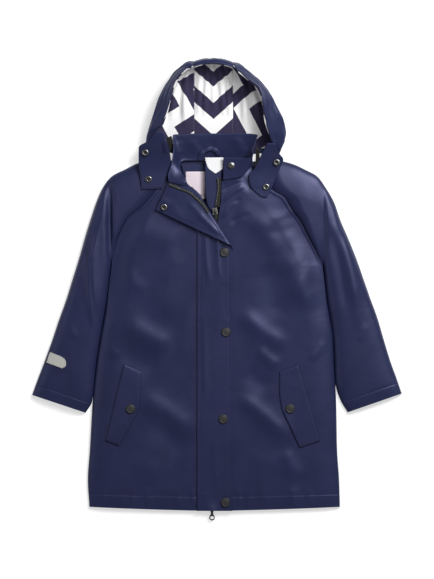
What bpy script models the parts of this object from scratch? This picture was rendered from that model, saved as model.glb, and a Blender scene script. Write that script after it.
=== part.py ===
"""Child's hooded raincoat, laid flat on its back with the right front's top corner turned back.

The tables are in millimetres: x runs from the wearer's right sleeve to the left one,
y from the hem to the hood, z up from the surface the coat lies on.
"""
import math

import bmesh
import bpy
import numpy as np
from mathutils import Vector
from mathutils.bvhtree import BVHTree

NAME = "hooded_raincoat"
MM = 0.001
CENTRE_X = -0.1         # middle of the whole outline, in the tables' frame
CENTRE_Y = 387.2

CLOTH = 1.5             # coated shell cloth
THIN = 1.1              # lining, tape and label cloth
GAP = 0.3               # between pieces at a seam
SEAM_GAP = 1.0          # between a front and its sleeve, measured along x
# How far round a point the cloth beneath it is felt for, so that the wall clears its slopes.
REACH = 4.0
TAB_REACH = 2.5
TAPE_REACH = 5.0
COLLAR_REACH = 6.0
POCKET_REACH = 7.0
ZIP_REACH = 3.0
COLLAR_ROWS = 36
COLLAR_TURN = 24         # first of the collar's rows on its turned-back right end
HEM_RISE = 7.0          # how much higher the hem's corners lie than its middle
HEM_ROWS = 4            # the hem's curve fades out over this many rows
BELOW = (0.0, 387.5, -9000.0)     # the inner side of a piece that faces up
BOWL = (-6.0, 700.0, 60.0)        # the inner side of the hood

NAVY = (0.022, 0.026, 0.075)
NAVY_LINING = (0.035, 0.028, 0.07)
WHITE = (0.9, 0.9, 0.9)
GUNMETAL = (0.05, 0.05, 0.055)
SILVER = (0.5, 0.5, 0.48)
ZIP_BLACK = (0.025, 0.025, 0.022)
LABEL_PINK = (0.83, 0.72, 0.79)
PATCH_GREY = (0.55, 0.55, 0.52)

# Side seam of each half, from the hem to the underarm, and the front edge beside each row.
# Columns: side_x, side_y, zip_x, zip_y.
SIDE_RIGHT = (
    (-223.0, 7.0, -12.3, 0.0),
    (-225.8, 54.0, -12.3, 50.0),
    (-222.3, 107.0, -12.3, 105.0),
    (-217.5, 190.0, -12.3, 187.0),
    (-210.0, 262.5, -12.3, 258.0),
    (-203.0, 308.0, -12.3, 302.0),
    (-192.5, 366.0, -12.3, 360.0),
    (-183.8, 436.0, -12.3, 424.0),
)
SIDE_LEFT = (
    (214.9, 7.0, -5.3, 0.0),
    (213.5, 54.0, -5.3, 50.0),
    (210.0, 107.0, -5.3, 105.0),
    (208.3, 190.0, -5.3, 187.0),
    (204.2, 262.5, -5.3, 258.0),
    (202.5, 304.5, -5.3, 300.0),
    (191.5, 369.0, -5.3, 360.0),
    (185.0, 428.0, -5.3, 416.0),
)
# Front edge above the underarm row: the right one follows the turned-back roll.
EDGE_RIGHT = ((-12.3, 424.0), (-12.3, 480.0), (-14.5, 510.0), (-31.0, 540.0), (-46.0, 558.0),
              (-60.0, 577.0), (-68.5, 598.0))
EDGE_LEFT = ((-5.3, 416.0), (-3.0, 452.0), (0.0, 490.0), (4.0, 522.0), (7.3, 548.0), (7.6, 577.5))

# Raglan seams, from the neck to the underarm.
RAGLAN_RIGHT = ((-80.0, 614.0), (-96.3, 580.0), (-108.5, 560.0), (-135.5, 530.3), (-154.0, 516.3),
                (-171.0, 487.2), (-178.5, 469.0), (-183.8, 438.0))
RAGLAN_LEFT = ((64.0, 612.0), (82.3, 575.8), (98.0, 560.9), (119.0, 547.8), (131.3, 528.5),
               (148.8, 505.8), (161.0, 482.0), (175.0, 455.0), (185.0, 430.0))

# Sleeves from the cuff up: outer edge, inner edge, thickness as laid.
# Columns: outer_x, outer_y, inner_x, inner_y, height.
SLEEVE_RIGHT = (
    (-323.8, 203.0, -230.0, 171.6, 12.0),
    (-315.0, 227.5, -218.6, 192.0, 14.0),
    (-301.0, 264.3, -215.3, 220.5, 15.0),
    (-287.9, 301.0, -211.0, 262.0, 15.5),
    (-276.5, 335.1, -206.2, 293.0, 16.0),
    (-264.3, 369.3, -200.4, 327.3, 16.5),
    (-252.9, 406.0, -194.5, 360.5, 17.0),
    (-241.5, 442.8, -189.9, 393.8, 17.0),
    (-230.1, 483.0, -186.6, 420.0, 17.0),
    (-220.5, 513.6, -185.6, 426.0, 17.0),
    (-210.0, 544.3, -185.3, 429.0, 17.0),
    (-199.5, 567.0, -185.0, 431.0, 17.0),
    (-183.8, 586.3, -184.7, 433.0, 17.0),
    (-160.0, 598.5, -184.4, 434.8, 17.0),
    (-140.0, 608.5, -184.1, 436.4, 17.0),
    (-112.0, 616.5, -183.8, 438.0, 17.0),
)
SLEEVE_LEFT = (
    (323.6, 205.5, 228.6, 172.5, 12.0),
    (315.5, 229.3, 216.0, 194.0, 14.0),
    (303.0, 264.3, 207.6, 222.0, 15.0),
    (292.3, 299.3, 205.4, 259.0, 15.5),
    (281.0, 337.8, 204.0, 293.0, 16.0),
    (269.5, 369.3, 199.2, 330.0, 16.5),
    (257.3, 404.3, 194.4, 358.0, 17.0),
    (245.0, 439.3, 190.3, 389.0, 17.0),
    (231.0, 474.3, 188.1, 410.0, 17.0),
    (217.0, 507.0, 187.3, 417.5, 17.0),
    (204.8, 541.0, 186.9, 420.5, 17.0),
    (190.8, 565.3, 186.7, 423.0, 17.0),
    (175.0, 586.3, 186.5, 425.0, 17.0),
    (155.8, 596.8, 186.3, 427.0, 17.0),
    (133.0, 607.3, 186.0, 428.5, 17.0),
    (100.0, 616.0, 185.0, 430.0, 17.0),
)
RAGLAN_BOW_FROM = 8      # the ring from which the rings bend to the raglan seam

# Height of the fronts' outer face over the length.
CROWN_Y = (0.0, 50.0, 165.0, 306.0, 435.0, 515.0, 620.0)
CROWN_Z = (8.0, 11.5, 14.5, 15.5, 17.5, 18.0, 18.0)
SIDE_ROLL = 42.0         # the front rounds down to the side seam over this width
SIDE_Z = 3.0

# Storm flap, as cut, and the line its top corner is turned back on.
FLAP_TOP = 612.0
# How far the turned-back corner sinks towards what lies under it, by distance from the fold.
SINK_AT = (0.0, 25.0, 70.0, 150.0)
SINK = (0.0, 0.6, 4.5, 5.0)
FLAP_COLUMNS = (-35.0, -28.0, -18.0, -8.0, 2.0, 12.0, 21.0, 27.0)
FOLD_A = (-35.0, 558.0)
FOLD_B = (27.0, 460.0)
FOLD_RADIUS = 3.2
ROLL_OUT = 4.8           # how far the facing's roll reaches past the flap's
ROLL_Z = 28.4

# Soft folds of the body: ends, half width, height (troughs are negative).
# Columns: x0, y0, x1, y1, width, height.
FOLDS = (
    (-185.5, 574.0, -187.0, 455.0, 7.0, -5.0),
    (182.5, 570.0, 180.0, 480.0, 7.0, -5.0),
    (-224.0, 490.0, -208.0, 330.0, 12.0, 1.8),
    (228.0, 490.0, 250.0, 350.0, 12.0, 1.8),
    (-70.0, 470.0, -95.0, 330.0, 22.0, 1.6),
    (60.0, 520.0, 120.0, 440.0, 18.0, 1.8),
    (-120.0, 100.0, -100.0, 10.0, 22.0, 1.5),
    (90.0, 110.0, 80.0, 5.0, 24.0, 1.5),
)

# Hood: centre strip's path (y, z) from the neck over the back of the head to the brow.
HOOD_SEAM = 0.8          # from the middle of a seam to the edge of the panel beside it
LINING_SEAM = 3.2
LINING_GAP = 1.35       # between the hood's cloth and its lining
HOOD_STRIP = (-40.0, 28.0)
HOOD_TOP_X = -8.0
HOOD_BOW = 0.006         # fall of the centre strip per square millimetre beside its middle
HOOD_BOW_FROM = 640.0
HOOD_BOW_OVER = 130.0
HOOD_PATH = ((611.5, 0.0), (640.0, 0.0), (672.0, 0.0), (702.0, 0.0), (730.0, 0.0), (753.0, 2.0),
             (771.0, 8.0), (784.0, 17.0), (793.0, 31.0), (790.0, 45.0), (783.0, 50.0))
# Columns: path_row, ground_x, ground_y, ground_z, wide_x, wide_y, wide_z, rim_x, rim_y, rim_z.
HOOD_RIGHT = (
    (0.0, -98.0, 633.0, 0.0, -125.0, 642.0, 20.0, -107.0, 653.0, 31.0),
    (0.35, -95.0, 639.0, 0.0, -124.0, 650.0, 21.5, -106.0, 661.5, 33.9),
    (0.7, -90.0, 646.0, 0.0, -123.0, 657.0, 22.0, -99.5, 669.5, 40.0),
    (1.0, -88.0, 652.0, 0.0, -121.5, 663.0, 24.0, -97.0, 674.0, 44.0),
    (2.0, -88.0, 680.0, 0.0, -115.5, 682.0, 26.0, -92.0, 687.0, 47.0),
    (3.0, -84.0, 706.0, 0.0, -108.5, 703.0, 28.0, -87.0, 703.0, 49.0),
    (4.0, -78.0, 732.0, 0.5, -99.8, 726.0, 29.0, -82.6, 724.0, 50.0),
    (5.0, -72.0, 752.0, 3.0, -88.5, 746.5, 30.0, -76.0, 745.0, 50.0),
    (6.0, -62.0, 768.0, 9.0, -76.0, 765.5, 31.0, -68.5, 760.0, 50.0),
    (7.0, -54.0, 779.0, 20.0, -63.5, 778.0, 33.0, -60.0, 769.0, 50.0),
    (8.0, -47.0, 787.0, 33.0, -52.0, 785.0, 39.0, -52.0, 774.0, 50.0),
    (9.5, -41.5, 781.0, 48.0, -43.0, 780.0, 49.0, -45.0, 775.0, 50.0),
)
HOOD_LEFT = (
    (0.0, 74.0, 626.0, 0.0, 108.0, 622.0, 13.0, 97.0, 628.0, 20.5),
    (0.35, 75.0, 634.0, 0.0, 114.0, 636.0, 19.0, 97.5, 640.0, 31.0),
    (0.7, 72.0, 642.0, 0.0, 119.0, 648.0, 20.0, 94.5, 652.0, 37.0),
    (1.0, 74.0, 648.0, 0.0, 121.0, 660.0, 22.0, 91.0, 662.0, 42.0),
    (2.0, 80.0, 678.0, 0.0, 117.0, 683.0, 25.0, 84.5, 683.0, 46.0),
    (3.0, 76.0, 706.0, 0.0, 107.0, 704.0, 27.0, 82.0, 703.0, 48.0),
    (4.0, 68.0, 731.0, 0.5, 94.0, 727.0, 29.0, 80.0, 723.0, 50.0),
    (5.0, 60.0, 751.0, 3.0, 80.5, 745.5, 30.0, 73.0, 740.0, 50.0),
    (6.0, 50.0, 766.0, 9.0, 67.5, 759.0, 31.0, 62.0, 750.0, 50.0),
    (7.0, 42.0, 777.0, 20.0, 54.0, 770.0, 33.0, 51.0, 759.0, 50.0),
    (8.0, 36.0, 784.0, 33.0, 42.0, 778.0, 39.0, 41.0, 767.0, 50.0),
    (9.5, 29.5, 781.0, 48.0, 31.0, 779.5, 49.0, 33.0, 774.0, 50.0),
)

# Hood tabs that carry two snap sockets each: outer edge, inner edge, height.
# Columns: outer_x, outer_y, inner_x, inner_y, height.
TAB_RIGHT = (
    (-106.0, 663.6, -93.5, 663.0, 37.2),
    (-116.0, 649.5, -87.0, 645.0, 34.0),
    (-137.0, 635.5, -82.5, 627.5, 27.0),
    (-137.2, 609.0, -80.5, 610.8, 21.8),
    (-134.8, 586.2, -86.3, 588.9, 19.4),
    (-132.1, 561.8, -96.0, 563.5, 19.0),
)
TAB_LEFT = (
    (99.5, 643.0, 88.0, 643.5, 36.0),
    (108.5, 626.0, 80.0, 629.0, 30.0),
    (116.0, 614.3, 72.8, 613.7, 25.0),
    (109.5, 598.0, 64.5, 598.5, 22.0),
    (102.7, 582.0, 55.0, 587.0, 21.0),
    (98.0, 570.0, 57.0, 571.0, 20.5),
    (92.0, 558.0, 64.0, 561.0, 20.0),
    (87.0, 548.0, 79.0, 549.0, 20.0),
)

# Stand collar, from the left front edge round the back of the neck to the turned-back right end.
# Columns: seam_x, seam_y, seam_z, top_x, top_y, top_z.
COLLAR = (
    (10.5, 579.0, 20.5, 11.0, 619.0, 24.0),
    (31.5, 582.5, 20.5, 31.5, 618.5, 25.0),
    (44.0, 586.0, 20.5, 47.0, 617.0, 26.5),
    (53.0, 596.0, 20.5, 58.0, 619.0, 29.0),
    (59.0, 604.5, 18.0, 62.0, 625.0, 30.0),
    (61.0, 611.0, 13.0, 60.0, 632.0, 27.0),
    (57.0, 614.5, 8.5, 65.0, 643.0, 22.0),
    (49.0, 614.0, 6.2, 70.0, 658.0, 17.0),
    (22.8, 613.0, 5.8, 40.0, 661.0, 15.0),
    (-3.5, 613.0, 5.8, 0.0, 660.6, 14.5),
    (-29.8, 613.0, 5.8, -36.0, 660.6, 15.0),
    (-52.5, 613.0, 6.2, -77.0, 658.0, 17.0),
    (-62.0, 611.0, 8.0, -76.1, 636.0, 21.0),
    (-65.0, 603.0, 13.0, -77.9, 618.0, 25.0),
    (-61.0, 592.0, 19.0, -82.0, 601.0, 27.5),
    (-54.5, 580.5, 23.5, -86.0, 586.0, 28.5),
    (-50.0, 566.0, 27.0, -84.0, 576.5, 28.8),
)

# Facing of the turned-back edge: roll line and zip line, from the collar to the slider.
# Columns: roll_x, roll_y, zip_x, zip_y.
FACING = (
    (-45.5, 574.6, -48.0, 563.0),
    (-37.0, 561.2, -35.5, 552.8),
    (-30.0, 550.1, -29.0, 546.2),
)
ZIP_RIGHT = ((-83.5, 571.5), (-66.0, 564.5), (-48.0, 557.5), (-37.0, 548.5), (-25.0, 536.5),
             (-15.0, 522.5))
ZIP_LEFT = ((-3.5, 533.5, 5.0, 532.0), (-2.4, 541.0, 5.6, 540.0), (0.2, 556.0, 6.4, 553.0),
            (1.2, 569.0, 6.8, 569.0), (0.4, 583.0, 6.8, 583.0))
ZIP_LEFT_Z = 19.6
ZIP_HALF_WIDTH = 5.4
ZIP_START = 12.0
ZIP_END = 519.0
ZIP_SECTION = ((-21.0, 2.1), (-12.9, 2.5), (-11.3, 0.7), (-6.3, 0.7), (-4.7, 2.5), (3.2, 2.1))
ZIP_SHIFT = 4.5          # how far the zip leans to the left front just below the top slider
# Columns: left_x, left_y, right_x, right_y.
PATCH = ((-292.0, 278.0, -272.5, 270.5), (-293.4, 275.2, -267.4, 266.6),
         (-295.0, 271.4, -264.6, 262.0), (-296.4, 267.0, -264.0, 257.0),
         (-297.6, 263.2, -265.6, 252.6), (-299.0, 260.0, -271.5, 249.5))
LOOP_PATH = ((-30.5, 613.5), (-28.5, 622.0), (-22.5, 630.0), (-11.0, 634.0), (-1.0, 630.0),
             (3.5, 622.5))
LOOP_WIDTH = 8.0

# Columns: outer_x, outer_y, inner_x, inner_y.
POCKET_RIGHT = (
    (-162.8, 257.2, -132.5, 243.2),
    (-171.0, 224.0, -134.6, 213.0),
    (-178.0, 194.0, -136.8, 182.0),
    (-186.0, 158.0, -150.0, 152.0),
    (-194.8, 123.0, -171.5, 114.1),
)
POCKET_LEFT = (
    (142.1, 256.0, 109.2, 243.1),
    (151.5, 223.0, 109.0, 214.0),
    (160.5, 191.0, 112.7, 182.2),
    (170.0, 156.0, 128.0, 147.0),
    (179.6, 122.5, 144.4, 110.8),
)

# Columns: outer_x, outer_y, outer_z, inner_x, inner_y, inner_z.
TAPE_RIGHT = ((-91.0, 651.0, 33.8, -79.5, 656.0, 33.8), (-90.0, 641.0, 31.2, -78.5, 645.0, 31.2),
              (-88.0, 629.0, 26.0, -79.5, 631.0, 26.0))
TAPE_LEFT = ((73.5, 632.0, 27.0, 67.5, 636.0, 27.0), (75.0, 614.0, 23.0, 67.5, 615.0, 22.5),
             (70.5, 600.0, 20.2, 63.5, 602.0, 19.8))

# Pieces in the neck opening: left edge, right edge, from the top down.
NECK_FACING = ((-64.0, 606.0, 60.0, 606.0), (-60.0, 590.0, 45.0, 590.0), (-48.0, 566.0, 20.0, 566.0),
               (-36.0, 545.0, 10.0, 545.0))
LABEL = ((-55.0, 594.1, -8.8, 594.1), (-55.0, 569.0, -8.8, 569.0), (-55.0, 546.0, -8.8, 546.0))
GUARD = ((-21.0, 619.5, 11.5, 619.5), (-21.0, 595.0, 9.0, 595.0), (-20.5, 560.0, 6.0, 560.0),
         (-18.0, 540.0, 2.0, 540.0), (-8.0, 522.0, -1.0, 520.0))
GUARD_Z = 16.2
CHIN_GUARD = ((-21.0, 618.5, 11.0, 618.5), (-19.5, 611.0, 11.0, 611.0), (-15.4, 600.0, 10.6, 600.5),
              (-9.5, 595.5, 5.0, 595.5), (-3.6, 591.0, -1.4, 591.0))

CAP_RADIUS = 8.2
SOCKET_RADIUS = 6.1
FLAP_CAPS = ((13.1, 452.5), (15.8, 313.2), (11.0, 161.0), (14.9, 15.1))
POCKET_CAPS = (("right", -151.2, 178.8), ("left", 127.9, 179.2))
TAB_SOCKETS = (("right_upper", -125.1, 626.9), ("right_lower", -119.5, 580.5),
               ("left_upper", 104.3, 610.1), ("left_lower", 85.8, 567.2))
STUD = (25.2, 604.4)
FLAP_SOCKET = (-92.4, 531.5)

# Sliders: middle of the underside, turn about z, width, and where the pull's pin sits.
# Columns: place, x, y, z, turn, width, length.
SLIDERS = (("top", -3.5, 524.5, 17.9, 10.0, 8.6, 12.0),
           ("bottom", -8.8, 6.5, 3.4, 0.0, 6.2, 9.0))
SLIDER_HEIGHT = 3.0
BRIDGE_HALF = 3.6
BRIDGE_HEIGHT = 3.6
BRIDGE_BAR = 1.0
BRIDGE_WIDTH = 1.8
PIN_BACK = 1.5           # the pin lies this far from the slider's middle, towards the pull
PIN_UP = 1.35            # and this far above the slider's plate
PULL_THICKNESS = 1.2
# Pulls: length, half width, slope in degrees, and the neck's half outline from the pin bar down.
PULL_TOP = (13.0, 2.4, 8.5, ((-1.8, 0.95), (-1.8, -1.5), (-1.75, -4.4), (-1.8, -7.0)))
PULL_BOTTOM = (22.2, 5.0, 11.0, ((-3.1, 0.95), (-3.1, -1.5), (-2.6, -4.8), (-2.0, -10.2)))
PULL_HOLE = ((-1.15, -0.95), (1.15, -0.95), (1.1, -3.4), (-1.1, -3.4))   # for the bridge
RING_FROM = 145.0        # the angle at which the neck meets the round end


# ---------------------------------------------------------------- curves and tables

def smooth(at, values, x):
    """Values at x of smooth curves through the table, which never overshoot it."""
    at = np.asarray(at, float)
    values = np.asarray(values, float)
    x = np.clip(np.asarray(x, float), at[0], at[-1])
    step = np.diff(at)
    slope = np.diff(values) / step
    tangent = np.zeros(len(at))
    tangent[0] = slope[0]
    tangent[-1] = slope[-1]
    same = slope[:-1] * slope[1:] > 0
    inner = np.zeros(len(at) - 2)
    inner[same] = 2.0 * slope[:-1][same] * slope[1:][same] / (slope[:-1] + slope[1:])[same]
    tangent[1:-1] = inner
    row = np.clip(np.searchsorted(at, x, side="right") - 1, 0, len(at) - 2)
    t = (x - at[row]) / step[row]
    rise = step[row]
    return ((1 + 2 * t) * (1 - t) ** 2 * values[row] + t * (1 - t) ** 2 * rise * tangent[row]
            + t * t * (3 - 2 * t) * values[row + 1] + t * t * (t - 1) * rise * tangent[row + 1])


def along(points, where):
    """Points at fractions of the length of a smooth line through the given points."""
    points = np.asarray(points, float)
    reach = np.concatenate([[0.0], np.cumsum(np.linalg.norm(np.diff(points, axis=0), axis=1))])
    spots = np.asarray(where, float) * reach[-1]
    return np.stack([smooth(reach, points[:, k], spots) for k in range(points.shape[1])], axis=-1)


def resample(table, count):
    """The table's rows, taken at evenly spaced row numbers."""
    table = np.asarray(table, float)
    rows = np.linspace(0, len(table) - 1, count)
    numbers = np.arange(len(table))
    return np.stack([smooth(numbers, table[:, k], rows) for k in range(table.shape[1])], axis=-1)


def fold_height(x, y):
    """Height that the soft folds add at a place."""
    total = np.zeros_like(x)
    for x0, y0, x1, y1, width, height in FOLDS:
        span = np.hypot(x1 - x0, y1 - y0)
        t = ((x - x0) * (x1 - x0) + (y - y0) * (y1 - y0)) / span ** 2
        off = ((x - x0) * (y1 - y0) - (y - y0) * (x1 - x0)) / span
        taper = np.clip(np.minimum(t, 1 - t) * 4 + 0.4, 0, 1)
        total += height * np.exp(-(off / width) ** 2) * taper * taper * (3 - 2 * taper)
    return total


def rounded(ratio):
    """A quarter round from 0 at the edge to 1 at the flat."""
    return np.sqrt(1 - (1 - np.clip(ratio, 0, 1)) ** 2)


# ---------------------------------------------------------------- making solids

def material(name, colour, roughness, metallic=0.0):
    made = bpy.data.materials.get(name)
    if made is None:
        made = bpy.data.materials.new(name)
        made.use_nodes = True
        shader = made.node_tree.nodes["Principled BSDF"]
        shader.inputs["Base Color"].default_value = (*colour, 1.0)
        shader.inputs["Roughness"].default_value = roughness
        shader.inputs["Metallic"].default_value = metallic
    return made


def add_object(name, mesh, finish):
    made = bpy.data.objects.new(name, mesh)
    bpy.data.collections[NAME].objects.link(made)
    made.data.materials.append(material(*finish))
    return made


def placed(points):
    """Table millimetres to metres about the origin."""
    return (np.asarray(points, float) - (CENTRE_X, CENTRE_Y, 0.0)) * MM


def cloth(name, grid, thickness, finish, closed=False, inner_side=BELOW):
    """A wall of cloth: the grid is its outer face, and Solidify adds the cloth on the inner side."""
    rows, columns = grid.shape[:2]
    mesh = bpy.data.meshes.new(name)
    build = bmesh.new()
    points = placed(grid.reshape(-1, 3))
    verts = [build.verts.new(point) for point in points]
    last = columns if closed else columns - 1
    for r in range(rows - 1):
        for c in range(last):
            d = (c + 1) % columns
            build.faces.new((verts[r * columns + c], verts[r * columns + d],
                             verts[(r + 1) * columns + d], verts[(r + 1) * columns + c]))
    build.normal_update()
    if closed:
        tallest = max(build.faces, key=lambda face: face.calc_center_median().z)
        inside_out = tallest.normal.z < 0
    else:
        inner = Vector(placed(inner_side))
        inside_out = sum(face.normal.dot(face.calc_center_median() - inner) * face.calc_area()
                         for face in build.faces) < 0
    if inside_out:
        bmesh.ops.reverse_faces(build, faces=build.faces)
    build.to_mesh(mesh)
    build.free()
    made = add_object(name, mesh, finish)
    made.data.shade_smooth()
    wall = made.modifiers.new("wall", "SOLIDIFY")
    wall.thickness = thickness * MM
    wall.offset = -1.0
    wall.use_even_offset = True
    wall.thickness_clamp = 0.0
    return made


def evaluated_tree(objects):
    """A search tree over the finished surfaces of some objects."""
    view = bpy.context.evaluated_depsgraph_get()
    verts = []
    faces = []
    for item in objects:
        mesh = item.evaluated_get(view).to_mesh()
        start = len(verts)
        verts += [item.matrix_world @ v.co for v in mesh.vertices]
        faces += [[start + i for i in polygon.vertices] for polygon in mesh.polygons]
        item.evaluated_get(view).to_mesh_clear()
    return BVHTree.FromPolygons(verts, faces)


def top_of(tree, x, y, reach, default=0.0):
    """Height in millimetres of the surface under a place, the highest within a short reach."""
    best = default
    for angle in range(9):
        step = 0.0 if angle == 8 else reach
        px = x + step * math.cos(angle * math.pi / 4)
        py = y + step * math.sin(angle * math.pi / 4)
        start = Vector(placed((px, py, 500.0)))
        hit = tree.ray_cast(start, Vector((0, 0, -1)))[0]
        if hit is not None:
            best = max(best, hit.z / MM)
    return best


def laid(grid, supports, thickness, reach=REACH, clear=GAP):
    """The grid raised where needed, so that the wall under it stays clear of what it lies on."""
    tree = evaluated_tree(supports)
    out = grid.copy()
    for index in np.ndindex(grid.shape[:2]):
        x, y, z = grid[index]
        out[index][2] = max(z, top_of(tree, x, y, reach) + clear + thickness)
    return out


def turned(name, profile, at, finish, sides=12, tilt=(0.0, 0.0)):
    """A turned piece: the profile (radius, height) runs down its outer side from the top."""
    mesh = bpy.data.meshes.new(name)
    build = bmesh.new()
    verts = [build.verts.new((r * MM, 0, z * MM)) for r, z in profile]
    for one, two in zip(verts, verts[1:]):
        build.edges.new((one, two))
    if profile[0][0] > 0:
        build.edges.new((verts[-1], verts[0]))
    build.to_mesh(mesh)
    build.free()
    made = add_object(name, mesh, finish)
    made.location = placed(at)
    made.rotation_euler = (tilt[0], tilt[1], 0.0)
    screw = made.modifiers.new("turn", "SCREW")
    screw.steps = sides
    screw.render_steps = sides
    screw.use_merge_vertices = True
    screw.merge_threshold = 0.00001
    screw.use_smooth_shade = True
    screw.use_normal_calculate = True
    return made


def ruled(table, rows, spread):
    """A grid between the two edges that a table gives, with its height column across."""
    table = resample(table, rows)
    outer = np.stack([table[:, 0], table[:, 1], table[:, 4]], axis=-1)
    inner = np.stack([table[:, 2], table[:, 3], table[:, 4]], axis=-1)
    share = np.asarray(spread)[None, :, None]
    return outer[:, None, :] * (1 - share) + inner[:, None, :] * share


# ---------------------------------------------------------------- body and sleeves

RING_TOP = 0.5 - 0.5 * np.cos(np.linspace(0, np.pi, 11))
BODY_SPREAD = np.array([0, 0.01, 0.04, 0.1, 0.19, 0.3, 0.43, 0.57, 0.71, 0.85, 1.0])
BODY_ROWS = 14

SHELL = ("coated_navy", NAVY, 0.36)
LINING = ("printed_lining", NAVY_LINING, 0.8)
PLAIN_LINING = ("white_lining", WHITE, 0.8)
CAP_METAL = ("gunmetal", GUNMETAL, 0.4, 0.9)
SOCKET_METAL = ("nickel", SILVER, 0.3, 1.0)
ZIP_CLOTH = ("zip_black", ZIP_BLACK, 0.6)
LABEL_CLOTH = ("label_cloth", LABEL_PINK, 0.7)
PATCH_CLOTH = ("reflective_grey", PATCH_GREY, 0.45)


def raglan(points):
    """Raglan seam at the ring's shares, from the neck to the underarm."""
    return along(points, RING_TOP)


def ring_height(share, height, edge=2.2):
    """Upper face of a flattened tube across its width."""
    return edge + (height - edge) * np.sqrt(1 - np.abs(2 * share - 1) ** 5)


def sleeve_rings(table, seam):
    """Upper and lower faces of a sleeve: rings from the cuff to the raglan seam."""
    table = np.asarray(table, float)
    last = len(table) - 1
    seam_line = raglan(seam)
    straight = seam_line[0] + (seam_line[-1] - seam_line[0]) * RING_TOP[:, None]
    bow = seam_line - straight
    upper = []
    for k, (ox, oy, ix, iy, height) in enumerate(table):
        start = np.array([ox, oy])
        end = np.array([ix, iy])
        turn = max(0.0, (k - RAGLAN_BOW_FROM) / (last - RAGLAN_BOW_FROM)) ** 1.3
        if k == last:
            plan = seam_line
        else:
            plan = start + (end - start) * RING_TOP[:, None] + bow * turn
        upper.append(np.column_stack([plan, ring_height(RING_TOP, height)]))
    return np.array(upper)


def sleeve(name, table, seam):
    upper = sleeve_rings(table, seam)
    crease = fold_height(upper[:, :, 0], upper[:, :, 1])
    middle = np.sin(np.pi * RING_TOP)[None, :] ** 0.5
    upper[:, :, 2] += crease * middle
    lower = upper[:, -2:0:-1].copy()
    lower[:, :, 2] = 0.0
    rings = np.concatenate([upper, lower], axis=1)
    return cloth(name, rings, CLOTH, SHELL, closed=True), upper


def hem_fade(rows):
    """Share of the hem's curve that each row from the hem up still has."""
    return np.clip(1 - np.arange(rows) / HEM_ROWS, 0, 1)


def hem_sag(rows, across):
    """How far each point lies below the straight line from the hem's corner to its middle."""
    half = 1 - np.abs(2 * across - 1)
    return HEM_RISE * (half - half * half)[None, :] * hem_fade(rows)[:, None]


def crown(y):
    return smooth(CROWN_Y, CROWN_Z, y)


def front(name, side_table, edge, upper, inside):
    """A front from the hem to the neck; above the underarm its edge follows the sleeve's seam."""
    body = resample(side_table, BODY_ROWS)
    seam_plan = upper[-1][1:-1][::-1]
    turn = np.linspace(0, 1, len(seam_plan) + 1)[1:]
    edge_points = along(edge, turn)
    side = np.concatenate([body[:, :2], seam_plan[:, :2] + (inside * SEAM_GAP, 0.0)])
    side_z = np.concatenate([np.full(BODY_ROWS, SIDE_Z), seam_plan[:, 2]])
    zip_edge = np.concatenate([body[:, 2:4], edge_points])
    share = BODY_SPREAD[None, :, None]
    plan = side[:, None, :] * (1 - share) + zip_edge[:, None, :] * share
    x = plan[:, :, 0]
    y = plan[:, :, 1] - hem_sag(len(plan), 0.5 * BODY_SPREAD)
    off = np.linalg.norm(plan - side[:, None, :], axis=2)
    z = side_z[:, None] + (crown(y) - side_z[:, None]) * rounded(off / SIDE_ROLL)
    z += fold_height(x, y) * rounded(off / 30.0)
    z = np.maximum(z, SIDE_Z)
    grid = np.dstack([x, y, z])
    return cloth(name, grid, CLOTH, SHELL)


def back(right_upper, left_upper):
    """The back lies flat under the fronts, from the hem to the neck seam."""
    rows = []
    right = resample(SIDE_RIGHT, BODY_ROWS)[:, :2]
    left = resample(SIDE_LEFT, BODY_ROWS)[:, :2]
    right = np.concatenate([right, right_upper[-1][1:-1][::-1][:, :2] + (SEAM_GAP, 0)])
    left = np.concatenate([left, left_upper[-1][1:-1][::-1][:, :2] - (SEAM_GAP, 0)])
    share = np.linspace(0, 1, 7)[:, None]
    for one, two in zip(right, left):
        row = one + (two - one) * share
        rows.append(np.column_stack([row, np.full(len(row), CLOTH)]))
    grid = np.array(rows)
    across = share[:, 0]
    middle_drop = HEM_RISE * (1 - np.abs(2 * across - 1)) * hem_fade(len(rows))[:, None]
    grid[:, :, 1] -= hem_sag(len(rows), across) + middle_drop
    return cloth("back", grid, CLOTH, SHELL)


def body():
    pieces = {}
    pieces["sleeve_right"], right_upper = sleeve("sleeve_right", SLEEVE_RIGHT, RAGLAN_RIGHT)
    pieces["sleeve_left"], left_upper = sleeve("sleeve_left", SLEEVE_LEFT, RAGLAN_LEFT)
    pieces["back"] = back(right_upper, left_upper)
    pieces["front_right"] = front("front_right", SIDE_RIGHT, EDGE_RIGHT, right_upper, 1.0)
    pieces["front_left"] = front("front_left", SIDE_LEFT, EDGE_LEFT, left_upper, -1.0)
    return pieces


# ---------------------------------------------------------------- hood

def bowed(x, y):
    """The hood's centre strip falls away beside its middle, more so towards the rim."""
    share = np.clip((y - HOOD_BOW_FROM) / HOOD_BOW_OVER, 0, 1)
    return y - HOOD_BOW * (x - HOOD_TOP_X) ** 2 * share


def hood_side(table, strip_x, edge, count):
    """Side panel: each row runs from the centre strip along the ground, up and in to the rim."""
    across = np.linspace(0, 1, 11)
    table = resample(table, count)
    path = np.asarray(HOOD_PATH, float)
    numbers = np.arange(len(path))
    rows = []
    for row in table:
        seam_y = smooth(numbers, path[:, 0], row[0])
        seam = (strip_x, bowed(strip_x, seam_y), smooth(numbers, path[:, 1], row[0]))
        points = np.array([seam, row[1:4], row[4:7], row[7:10]])
        length = np.linalg.norm(np.diff(points, axis=0), axis=1).sum()
        rows.append(along(points, edge / length + (1 - 1.3 * edge / length) * across))
    return np.array(rows)


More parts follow.
